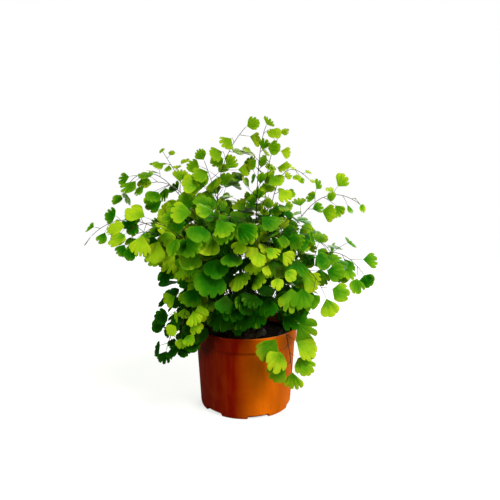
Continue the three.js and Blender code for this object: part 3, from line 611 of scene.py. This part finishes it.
def square_to(vector, axis):
    """The unit vector nearest to vector that stands square to axis."""
    return unit(vector - axis * (vector @ axis))


def turned_about(vector, axis, angle):
    """vector turned about a unit axis by an angle."""
    return (vector * cos(angle) + np.cross(axis, vector) * sin(angle)
            + axis * (axis @ vector) * (1 - cos(angle)))


def sideways(k):
    """Steps for trying a little to one side and then to the other: 0, 1, -1, 2, -2 ..."""
    return int(ceil(k / 2)) * (1 if k % 2 else -1)


class Stem:
    """A cubic curve from the dome of the rhizome over the shoulder to the tip."""

    def __init__(self, hold):
        self.hold = hold
        points = self.at(np.arange(201) / 200)
        self.length = np.concatenate(
            [[0], np.cumsum(np.linalg.norm(points[1:] - points[:-1], axis=1))])

    def at(self, t):
        t = np.asarray(t, float)[..., None]
        a, b, c, d = self.hold
        s = 1 - t
        return a * s ** 3 + b * 3 * s * s * t + c * 3 * s * t * t + d * t ** 3

    def share(self, s):
        """The curve's own parameter where a share s of its length has run."""
        return np.interp(np.asarray(s) * self.length[-1], self.length, np.arange(201) / 200)

    def ahead(self, s):
        """Its direction there, from two points a hair apart."""
        t = self.share(s)
        return unit(self.at(np.minimum(t + 1e-4, 1)) - self.at(np.maximum(t - 1e-4, 0)))


def line_gaps(a, b, c, d):
    """Shortest distances between stretches a-b and c-d, arrays that broadcast together."""
    u, w, r = b - a, d - c, a - c
    uu, ww = (u * u).sum(-1), (w * w).sum(-1)
    uw, ur, wr = (u * w).sum(-1), (u * r).sum(-1), (w * r).sum(-1)
    flat = uu * ww - uw * uw
    s = np.where(flat > 1e-9, np.clip((uw * wr - ur * ww) / np.maximum(flat, 1e-12), 0, 1), 0)
    t = np.clip((uw * s + wr) / ww, 0, 1)
    s = np.clip((uw * t - ur) / uu, 0, 1)
    return np.linalg.norm(r + u * s[..., None] - w * t[..., None], axis=-1)


def grow_stem(row, placed_a, placed_b):
    """A stem that keeps STEM_SPACING from the stretches placed so far. If it would touch one, it
    is turned or moved a little."""
    turn, ring, out, high, reach, tip, side, bare, n = row[:9]
    for k in range(99):
        angle = radians(turn + TURN_STEP * sideways(k % 9))
        foot = abs(ring + FOOT_STEP * sideways(k // 9))
        away = np.array([cos(angle), sin(angle), 0])
        beside = np.array([-sin(angle), cos(angle), 0])
        normal = np.array([foot * away[0], foot * away[1], sqrt(DOME_RADIUS ** 2 - foot ** 2)])
        start = normal + UP * DOME_CENTRE
        normal = unit(normal)
        start = start + normal * FOOT_GAP
        stem = Stem([start, start + normal * 0.42 * (high - start[2]), away * out + UP * high,
                     away * reach + beside * side + UP * tip])
        steps = int(n / (1 - bare) + 0.5)
        stem.first, stem.steps = steps - n, steps
        stem.nodes = stem.at(stem.share(np.arange(steps + 1) / steps))
        kept = [i for i in range(steps + 1)
                if i == 0 or i >= stem.first or i % 2 == stem.first % 2]
        path = stem.nodes[kept]
        gaps = line_gaps(path[:-1, None], path[1:, None], placed_a, placed_b)
        if (gaps > STEM_SPACING).all():
            stem.path, stem.away, stem.beside = path, away, beside
            # fronds at the back, in the plant's own shade, turn less to the light
            stem.lit = 1 - 0.9 * max(0, away[1])
            return stem
    raise ValueError(f"no room for the frond at {turn} degrees")


def clear_of_pot(p):
    """Clear of the pot, the soil and the space just above them."""
    return p[2] > POT_HEIGHT + POT_HEADROOM or hypot(p[0], p[1]) > RIM_RADIUS + POT_MARGIN


def clear_of_lines(centre, normal, radius, p, q, reach):
    """Whether stretches p-q all stay off a flat round plate by the distance reach: the part of
    each one within reach of the plate's plane is compared with the plate's edge."""
    a, b = p - centre, q - centre
    s0, s1 = a @ normal, b @ normal
    near = (np.minimum(s0, s1) <= reach) & (np.maximum(s0, s1) >= -reach)
    if not near.any():
        return True
    a, b, s0, s1 = a[near], b[near], s0[near], s1[near]
    a = a - s0[:, None] * normal
    b = b - s1[:, None] * normal
    rise = s1 - s0
    steep = np.abs(rise) > 1e-6
    safe = np.where(steep, rise, 1)
    c0, c1 = np.clip((-reach - s0) / safe, 0, 1), np.clip((reach - s0) / safe, 0, 1)
    t0 = np.where(steep, np.minimum(c0, c1), 0)
    t1 = np.where(steep, np.maximum(c0, c1), 1)
    along = b - a
    t = -(a * along).sum(-1) / np.maximum((along * along).sum(-1), 1e-9)
    t = np.clip(t, t0, t1)
    return bool((np.linalg.norm(a + along * t[:, None], axis=1) > radius + reach).all())


def clear_of_plates(centre, normal, radius, centres, normals, radii, gaps):
    """Whether a flat round plate stays apart from others. Two plates cross where the chords that
    they cut from the line of their two planes overlap; the plate is also tried a little way off
    on both sides."""
    ra, rb = radius + 0.4, radii + 0.4
    near = np.linalg.norm(centres - centre, axis=1) <= ra + rb
    if not near.any():
        return True
    centres, normals, rb, gaps = centres[near], normals[near], rb[near], gaps[near]
    line = np.cross(normal, normals)
    sine = np.linalg.norm(line, axis=1)
    apart = centre - centres
    level = sine < 0.1
    hit = level & (np.abs((apart * normals).sum(-1)) <= gaps + ra * sine)
    if hit.any():
        return False
    line = line / np.maximum(sine, 1e-9)[:, None]
    for share in (-1, -0.5, 0, 0.5, 1):
        d = apart + (share * gaps)[:, None] * normal
        ea = np.abs((d * normals).sum(-1)) / np.maximum(sine, 1e-9)
        eb = np.abs(d @ normal) / np.maximum(sine, 1e-9)
        cross = ~level & (ea < ra) & (eb < rb)
        chords = (np.sqrt(np.maximum(ra ** 2 - ea ** 2, 0))
                  + np.sqrt(np.maximum(rb ** 2 - eb ** 2, 0)))
        if (cross & (np.abs((d * line).sum(-1)) < chords)).any():
            return False
    return True


stems = []
stem_a, stem_b = np.zeros((0, 3)), np.zeros((0, 3))
stem_of = np.zeros(0, int)
for f, row in enumerate(FROND_ROWS):
    stem = grow_stem(row, stem_a, stem_b)
    stems.append(stem)
    stem_a = np.concatenate([stem_a, stem.path[:-1]])
    stem_b = np.concatenate([stem_b, stem.path[1:]])
    stem_of = np.concatenate([stem_of, np.full(len(stem.path) - 1, f)])

# side branches, left and right in turn, in a blade that is tilted to the light
branches = []
for f, (row, stem) in enumerate(zip(FROND_ROWS, stems)):
    n, span = row[8], row[9]
    draw = Stream(f + 1)
    hand = 1 if f % 2 else -1
    # they stay clear of all other fronds' stems and of earlier fronds' side branches
    earlier = [b for b in branches if b["length"] > 0]
    near_a = np.concatenate([stem_a[stem_of != f]] + [b["start"][None] for b in earlier])
    near_b = np.concatenate([stem_b[stem_of != f]] + [b["end"][None] for b in earlier])
    for j in range(n + 1):
        u = j / n
        start = stem.nodes[stem.first + j]
        ahead = stem.ahead((stem.first + j) / stem.steps)
        flat = np.cross(ahead, square_to(stem.beside, ahead))
        face = square_to(flat + LIGHT * 0.9 * stem.lit, ahead)
        beside = np.cross(face, ahead)
        opened = radians(BRANCH_ANGLE + 12 * draw.spread())
        droop = 0.05 + 0.22 * draw.next()
        lift = 0.3 * draw.spread()
        length = span * (1 - (1 - TIP_SHARE) * u) * (0.85 + 0.3 * draw.next())
        if j == n:
            branches.append(dict(f=f, u=u, start=start, axis=ahead, face=face, length=0.0))
            continue
        for k in range(7):
            angle = opened + radians(BRANCH_TURN) * sideways(k)
            axis = unit(ahead * cos(angle) + beside * hand * sin(angle) - UP * droop + face * lift)
            reach = length * (1 if k < 3 else 0.75)
            end = start + axis * reach
            if clear_of_pot(end) and (line_gaps(start, end, near_a, near_b) > BRANCH_SPACING).all():
                branches.append(dict(f=f, u=u, start=start, end=end, axis=axis, length=reach,
                                     face=square_to(face, axis)))
                break
        hand = -hand

# Ways to place a leaflet, tried in this order: roll and pitch in degrees, and a scale.
TRIES = [
    (0, 0, 1), (25, 0, 1), (-25, 0, 1), (0, 20, 1), (0, -20, 1), (0, 0, 0.85), (45, 0, 0.9),
    (-45, 0, 0.9), (25, 20, 0.85), (-25, -20, 0.85), (0, 35, 0.8), (0, -35, 0.8), (65, 0, 0.8),
    (-65, 0, 0.8), (0, 0, 0.62), (40, 0, 0.6), (-40, 0, 0.6), (0, 40, 0.6), (0, -40, 0.6)]

# leaflets along each branch, left and right in turn, and one at its end
long_ones = [b for b in branches if b["length"] > 0]
branch_a = np.array([b["start"] for b in long_ones])
branch_b = np.array([b["end"] for b in long_ones])
branch_of = np.array([b["f"] for b in long_ones])
leaflets = []
plates = np.zeros((0, 8))  # centre, normal, radius and frond of each leaflet's plate
for b, branch in enumerate(branches):
    f = branch["f"]
    leaf, loose = FROND_ROWS[f][10], FROND_ROWS[f][12]
    stem = stems[f]
    draw = Stream(500 + b)
    beside = np.cross(branch["face"], branch["axis"])
    # they stay clear of earlier branches' leaflets and of other fronds' stems and branches
    near_plates = (plates[:, :3], plates[:, 3:6], plates[:, 6],
                   np.where(plates[:, 7] == f, OWN_LEAF_SPACING, LEAF_SPACING))
    near_stems = stem_a[stem_of != f], stem_b[stem_of != f], STEM_CLEARANCE
    near_branches = branch_a[branch_of != f], branch_b[branch_of != f], BRANCH_CLEARANCE
    count = max(1, int(branch["length"] / (leaf * LEAF_INTERVAL) + 0.8))
    for k in range(count):
        last = k == count - 1
        hand = -1 if k % 2 else 1
        along = 1 if last else BARE_SHARE + (1 - BARE_SHARE) * k / count
        size = (leaf * (0.82 + 0.34 * draw.next()) * (1 - 0.3 * branch["u"])
                * (1.08 if last else 0.95))
        opened = radians(LEAF_ANGLE + 14 * draw.spread())
        droop = 0.1 + 0.35 * draw.next()
        tilt = np.array([draw.spread(), draw.spread(), draw.spread()])
        wide = 0.5 + 0.08 * draw.next()
        shade = draw.next()
        lean = branch["axis"] if last else (
            branch["axis"] * cos(opened) + beside * hand * sin(opened))
        face = unit(branch["face"] * 0.45 + stem.away * 0.45 + LIGHT * 0.55 * stem.lit + UP * 0.35)
        normal0 = unit(face + tilt * loose)
        hang = unit(lean - UP * droop)
        axis0 = unit(hang - normal0 * 0.85 * (normal0 @ hang))
        start = branch["start"] + branch["axis"] * branch["length"] * along
        for roll, pitch, scale in TRIES:
            normal = turned_about(square_to(normal0, axis0), axis0, radians(roll))
            hinge = np.cross(normal, axis0)
            axis = turned_about(axis0, hinge, radians(pitch))
            normal = turned_about(normal, hinge, radians(pitch))
            length = size * scale
            centre = start + axis * LEAF_CENTRE * length
            radius = LEAF_REACH * length
            side = np.cross(axis, normal) * 0.5 * length
            if (clear_of_pot(start + axis * length)
                    and clear_of_pot(centre + side) and clear_of_pot(centre - side)
                    and clear_of_plates(centre, normal, radius, *near_plates)
                    and clear_of_lines(centre, normal, radius, *near_stems)
                    and clear_of_lines(centre, normal, radius, *near_branches)):
                leaflets.append(dict(
                    f=f, b=b, along=along, start=start, axis=axis, normal=normal, length=length,
                    wide=wide, shade=shade, hand=0 if last else hand))
                plates = np.vstack([plates, [*centre, *normal, radius, f]])
                break

# ---- fronds -----------------------------------------------------------------------------------
# One piece a frond: a smooth, near-black wiry stem that thins to the tip, hair-thin side branches,
# and thin leaflets on short stalks. A leaflet is a fan with a lobed outer edge, fine veins that
# fork from its stalk and a paler margin; young ones are lime green and old ones dark, and those
# low and inside the plant are darkened by painted shade.
STEM_FOOT, STEM_TIP = 0.80, 0.32  # radii in millimetres
STEM_POINTS, STEM_SIDES = 34, 6
STEM_SUNK = 1.6  # length of stem that runs on down into the rhizome's scales
BRANCH_FOOT, BRANCH_TIP = 0.36, 0.20
BRANCH_POINTS, BRANCH_SIDES = 6, 5
BRANCH_SAG = 0.05  # depth of a side branch's bow as a share of its length
STALK_RADIUS, STALK_SIDES = 0.17, 3
LEAF_THICKNESS = 0.22
LEAF_FULLNESS = 1.09  # a grown blade reaches a little past its measured length


def tube(line, radius, sides):
    """A tube along a line of points (n, 3): at each point a ring of sides corners, square to the
    line, of that point's radius. Returns points, quads, cap faces and the share of the way."""
    ahead = unit(np.gradient(line, axis=0))
    guide = np.array([0.31, -0.42, 0.85])
    if abs(ahead[0] @ guide) >= 0.9:
        guide = np.array([0.9, 0.3, -0.3])
    x = [square_to(guide, ahead[0])]
    for t in ahead[1:]:
        x.append(square_to(x[-1], t))
    x = np.array(x)
    y = np.cross(ahead, x)
    turn = full_turn(sides)
    ring = x[:, None] * np.cos(turn)[:, None] + y[:, None] * np.sin(turn)[:, None]
    points = line[:, None] + ring * np.broadcast_to(radius, len(line))[:, None, None]
    quads = ring_faces(len(line), sides)
    caps = np.stack([np.arange(sides)[::-1], np.arange(sides) + (len(line) - 1) * sides])
    share = np.repeat(np.linspace(0, 1, len(line)), sides)
    return points.reshape(-1, 3), quads, caps, share


COLUMNS = 18
LEAF_ROW_AT = np.array([0.0, 0.56, 1.0])  # shares of the way out
LEAF_POINTS = 3 * (COLUMNS + 1) + COLUMNS - 1
# the fan's upper grid is 3 rows of 19 points; the underside shares its edge and has a middle row
upper = np.arange(3 * (COLUMNS + 1)).reshape(3, COLUMNS + 1)
under = upper.copy()
under[1, 1:-1] = np.arange(3 * (COLUMNS + 1), LEAF_POINTS)
# where the notches between the lobes are, as column numbers
NOTCHES = [(0, 4, 9, 14, 18), (0, 5, 8, 13, 18), (0, 4, 7, 11, 14, 18), (0, 4, 9, 13, 18),
           (0, 3, 7, 11, 15, 18), (0, 5, 9, 13, 18), (0, 3, 6, 9, 12, 15, 18), (0, 6, 12, 18)]
lobe = np.array([np.interp(np.arange(COLUMNS + 1), cuts, np.arange(len(cuts))) % 1
                 for cuts in NOTCHES])
nudge = -0.07 * np.sin(2 * pi * lobe)  # draws the points of a lobe towards its notches
lobe = np.sin(pi * lobe)  # 0 in a notch, 1 in the middle of a lobe
lobe_width = np.array([np.interp(np.arange(COLUMNS + 1) - 0.01, cuts[1:], np.diff(cuts),
                                 left=cuts[1]) for cuts in NOTCHES])


def sheet_quads(numbers):
    """Quads of an open grid of point numbers: each joins four neighbours."""
    return np.stack([numbers[:-1, :-1], numbers[:-1, 1:], numbers[1:, 1:], numbers[1:, :-1]],
                    -1).reshape(-1, 4)


leaf_quads = np.concatenate([sheet_quads(upper)[:, ::-1], sheet_quads(under)])


def fans(leaves):
    """Leaflets as arrays (leaf, point, 3), and where their stalks meet them. A point at angle p
    from the leaflet's axis and share v of the way out is v times the fan's reach at p: the sides
    are straight, the outer corners rounded, the edge is cut into rounded lobes by narrow notches,
    some deep and some shallow, and a side leaflet is longer on its outer side. The blade is
    pleated along its lobes, droops with the square of the way out, cups across and ripples at
    its edge."""
    length, wide, shade, hand, start, axis, normal = (
        np.array([leaf[key] for leaf in leaves], float)
        for key in ("length", "wide", "shade", "hand", "start", "axis", "normal"))
    length = length * LEAF_FULLNESS
    side = np.cross(axis, normal)
    a = np.floor(shade * 977) / 977 * 2 * pi  # an angle of its own for each leaflet
    opening = radians(56) + radians(12) * np.sin(a * 3)
    pattern = (shade * 9973).astype(int) % len(lobe)
    q = np.linspace(-1, 1, COLUMNS + 1)[None] + nudge[pattern] * lobe_width[pattern] / COLUMNS * 2
    p = q * opening[:, None]
    bulge = lobe[pattern]
    depth = (0.14 + 0.05 * np.sin(a * 5 + 1)[:, None]) * (
        1 + 0.75 * np.cos(9 * a[:, None] + 3 * q))
    corner = 0.16 * np.abs(q) ** 9
    reach = (0.82 + 0.20 * np.cos(p)) * (1 - corner) * (1 - depth * (1 - bulge ** 0.5))
    reach = reach * (1 + 0.08 * hand[:, None] * np.sin(p) + 0.07 * np.sin(a * 17)[:, None] * q)
    broad = wide[:, None] / np.abs(reach * np.sin(p)).max(1, keepdims=True)
    v = LEAF_ROW_AT[None, :, None]
    reach, p, bulge = reach[:, None], p[:, None], bulge[:, None]
    x = (v * reach * broad[:, None] + (1 - v) * 0.012) * np.sin(p)
    y = v * reach * np.cos(p) + 0.10 * (1 - v)
    droop = 0.05 + 0.13 * np.sin(a * 7)[:, None, None] ** 2
    cup = 0.16 * np.sin(a * 11 + 2)[:, None, None]
    pleat = (0.030 + 0.020 * np.sin(a * 13)[:, None, None]) * (bulge - 0.6) * v
    ripple = 0.020 * np.sin(p * 6 + a[:, None, None]) * v ** 2
    z = -droop * y ** 2 + cup * x ** 2 + pleat + ripple
    scale = length[:, None, None]
    grid = (start[:, None, None] + side[:, None, None] * (x * scale)[..., None]
            + axis[:, None, None] * (y * scale)[..., None]
            + normal[:, None, None] * (z * scale)[..., None])
    half = normal[:, None] * LEAF_THICKNESS / 2
    below = grid[:, 1, 1:-1] - half
    grid[:, 1, 1:-1] += half
    return np.concatenate([grid.reshape(len(leaves), -1, 3), below], 1), grid[:, 0].mean(1)


def along_branch(branch, t):
    """The place a share t of the way along a branch, which bows by a parabola."""
    return branch["start"] + branch["length"] * (
        branch["axis"] * t + branch["face"] * BRANCH_SAG * (t * (1 - t) * 4))


def frond_piece(f, finishes):
    """Stem, branches, stalks and leaflets of frond f as one mesh. The attribute growth holds
    tone, a number of its own for each leaflet and the share of the way out."""
    stem, tone = stems[f], FROND_ROWS[f][11]
    parts, quads, caps, growth = [], [], {}, []
    count = 0

    def add_tube(line, radius, sides, shade, share_from, share_to):
        """Adds a tube whose share of the way out runs from share_from to share_to."""
        nonlocal count
        points, q, c, share = tube(line, radius, sides)
        parts.append(points)
        quads.append(q + count)
        caps.setdefault(sides, []).append(c + count)
        outward = share_from + (share_to - share_from) * share
        growth.append(np.stack(np.broadcast_arrays(tone, shade, outward), -1))
        count += len(points)

    s = np.linspace(0, 1, STEM_POINTS)
    line = stem.at(stem.share(s))
    foot = line[0] - unit(line[1] - line[0]) * STEM_SUNK
    line = np.concatenate([foot[None], line])
    thick = STEM_FOOT + (STEM_TIP - STEM_FOOT) * np.concatenate([[0], s])
    add_tube(line, thick, STEM_SIDES, 0.5, 0.0, 1.0)
    for branch in long_ones:
        if branch["f"] == f:
            t = np.linspace(0, 1, BRANCH_POINTS)
            thick = BRANCH_FOOT + (BRANCH_TIP - BRANCH_FOOT) * t
            add_tube(along_branch(branch, t[:, None]), thick, BRANCH_SIDES, 0.5,
                     0.45 + 0.35 * branch["u"], 0.75 + 0.25 * branch["u"])
    own = [leaf for leaf in leaflets if leaf["f"] == f]
    blades, feet = fans(own)
    for leaf, foot in zip(own, feet):
        root = along_branch(branches[leaf["b"]], leaf["along"])
        end = foot + leaf["axis"] * 0.5
        middle = (root + end) / 2 + leaf["normal"] * leaf["length"] * 0.015
        add_tube(np.array([root, middle, end]), STALK_RADIUS, STALK_SIDES, leaf["shade"],
                 0.8, 1.0)
    base = count + np.arange(len(own))[:, None, None] * LEAF_POINTS
    leaf_faces = (leaf_quads[None] + base).reshape(-1, 4)
    parts.append(blades.reshape(-1, 3))
    shades = np.array([leaf["shade"] for leaf in own])
    row = np.concatenate([np.repeat(LEAF_ROW_AT, COLUMNS + 1),
                          np.full(COLUMNS - 1, LEAF_ROW_AT[1])])
    leaf_growth = np.stack(np.broadcast_arrays(tone, shades[:, None], row), -1)
    growth.append(leaf_growth.reshape(-1, 3))

    # the fan's own map: across, 0 to 1 from side to side (2 to 3 underneath), and outwards
    across = np.linspace(0, 1, COLUMNS + 1)
    across = np.concatenate([np.tile(across, 3), across[1:-1]])
    leaf_uv = np.stack([across, row], -1)[leaf_quads]
    leaf_uv[len(leaf_quads) // 2:, :, 0] += 2
    leaf_uv = np.tile(leaf_uv, (len(own), 1, 1))
    cap_faces = [np.concatenate(c) for c in caps.values()]
    faces = [np.concatenate(quads), leaf_faces] + cap_faces
    uv = [np.zeros((*group.shape, 2)) for group in faces]
    uv[1] = leaf_uv
    return mesh_piece(f"frond_{f + 1:02d}_leaves", np.concatenate(parts), faces, finishes, uv,
                      [0, 1] + [0] * len(cap_faces), np.concatenate(growth))


# Growth marks: what each frond's mesh says about a spot, read from its attribute.
marks = Effect("growth_marks", {}, {"Tone": "Float", "Shade": "Float", "Outward": "Float"})
marks_vector = marks.node("Attribute", attribute_name="growth").outputs["Vector"]
for socket, part in zip(("Tone", "Shade", "Outward"), marks.apart(marks_vector)):
    marks.feed(marks.result[socket], part)

STEM_BLACK = (0.006, 0.003, 0.002, 1)
STEM_BROWN = (0.018, 0.008, 0.004, 1)
YOUNG_STEM = (0.045, 0.028, 0.006, 1)
stem_finish = Finish("wiry_dark_stem")
where = stem_finish.place()
grown = marks.place_in(stem_finish)
young = stem_finish.product(stem_finish.fade(grown["Outward"], 0.55, 1.0),
                            stem_finish.fade(grown["Tone"], 0.3, 0.9, 0.25, 1.0))
bark = mottle.place_in(stem_finish, Place=where, Scale=300.0, Detail=2.0, Low=0.3, High=0.7)
colour = stem_finish.mix(bark["Mask"], STEM_BLACK, STEM_BROWN)
colour = stem_finish.mix(young, colour, YOUNG_STEM)
dust = splash.place_in(stem_finish, Place=where, Low=0.094, High=0.112, Amount=0.7)
stem_finish.set("Base Color", stem_finish.mix(dust["Mask"], colour, DRY_SOIL))
stem_finish.set("Roughness", 0.4)
stem_finish.set("Specular IOR Level", 0.2)

OLD_GREEN = (0.0008, 0.032, 0.0003, 1)
DEEP_GREEN = (0.006, 0.105, 0.0015, 1)
FRESH_GREEN = (0.088, 0.25, 0.005, 1)
LIME = (0.32, 0.47, 0.010, 1)
VEIN_GREEN = (0.20, 0.40, 0.008, 1)
PALE_UNDERSIDE = (0.14, 0.30, 0.003, 1)
PAINTED_SHADE_GREEN = (0.0008, 0.020, 0.0003, 1)
OLIVE = (0.125, 0.190, 0.001, 1)
blade = Finish("fern_leaflet")
where = blade.place()
leaf_z = blade.apart(where)[2]
grown = marks.place_in(blade)
fan_x, fan_y = blade.apart(blade.node("TexCoord").outputs["UV"])[:2]
underside = blade.math("GREATER_THAN", fan_x, 1.5)
across_fan = blade.math("SUBTRACT", fan_x, blade.product(underside, 2.0))
patch = mottle.place_in(blade, Place=where, Scale=55.0, Detail=3.0, Low=0.3, High=0.7)
# painted shade: leaflets low down, and those near the axis inside the plant, are darkened as if in
# the plant's own shade, more so on darker fronds, so they are darker than the ones out in the light
painted_inner_shade = blade.product(blade.fade(blade.from_axis(where), 0.040, 0.090, 1.0, 0.0),
                      blade.fade(leaf_z, 0.20, 0.27, 1.0, 0.0))
painted_shade = blade.product(
    blade.total(blade.fade(leaf_z, 0.10, 0.20, 0.30, 0.0), blade.product(painted_inner_shade, 0.35)),
    blade.math("SUBTRACT", 1.15, grown["Tone"]))
# each leaflet differs a little, and is darker near the stalk and paler towards the margin
lushness = blade.total(
    grown["Tone"],
    blade.fade(grown["Shade"], 0, 1, -0.22, 0.22),
    blade.fade(patch["Mask"], 0, 1, -0.12, 0.12),
    blade.fade(grown["Outward"], 0.2, 1.0, -0.12, 0.24),
    blade.fade(leaf_z, 0.23, 0.33, 0.0, 0.06))
ramp = blade.node("ValToRGB", {0: blade.math("SUBTRACT", lushness, painted_shade)})
stops = ramp.color_ramp.elements
stops[0].color = OLD_GREEN
stops[1].color = LIME
stops.new(0.35).color = DEEP_GREEN
stops.new(0.68).color = FRESH_GREEN
# veins: fine lines along the fan whose number doubles twice on the way out
lines = 0.0
for number, low, high in ((9, -0.1, 0.42), (18, 0.36, 0.72), (36, 0.66, 1.1)):
    wave = blade.math("ABSOLUTE", blade.math("SINE", blade.product(across_fan, pi * number)))
    line = blade.product(blade.fade(wave, 0.0, 0.30, 1.0, 0.0),
                         blade.fade(fan_y, low, low + 0.06),
                         blade.fade(fan_y, high - 0.06, high, 1.0, 0.0))
    lines = blade.math("MAXIMUM", lines, line)
colour = blade.mix(blade.product(lines, 0.22), ramp.outputs[0], VEIN_GREEN)
colour = blade.mix(blade.product(underside, 0.30), colour, PALE_UNDERSIDE)
# painted shade: leaflets near the axis inside the plant are mixed towards a deep shaded green
colour = blade.mix(blade.product(painted_inner_shade, 0.82), colour, PAINTED_SHADE_GREEN)
# the unfolding leaflets at the top are olive
colour = blade.mix(blade.fade(leaf_z, 0.24, 0.31, 0.0, 0.55), colour, OLIVE)
blade.set("Base Color", colour)
blade.set("Roughness", blade.fade(patch["Mask"], 0, 1, 0.42, 0.58))
blade.set("Specular IOR Level", 0.08)
blade.set("Specular Tint", (0.6, 1.0, 0.12, 1))
blade.set("Subsurface Weight", 0.22)
blade.set("Subsurface Radius", (0.5, 1.0, 0.03))
blade.set("Subsurface Scale", 0.0012)
blade.bump(lines, 0.25, 0.0002)

for f in range(len(FROND_ROWS)):
    frond = frond_piece(f, [stem_finish.material, blade.material])
    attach(frond, "root")
    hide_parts(f"frond_{f + 1:02d}")
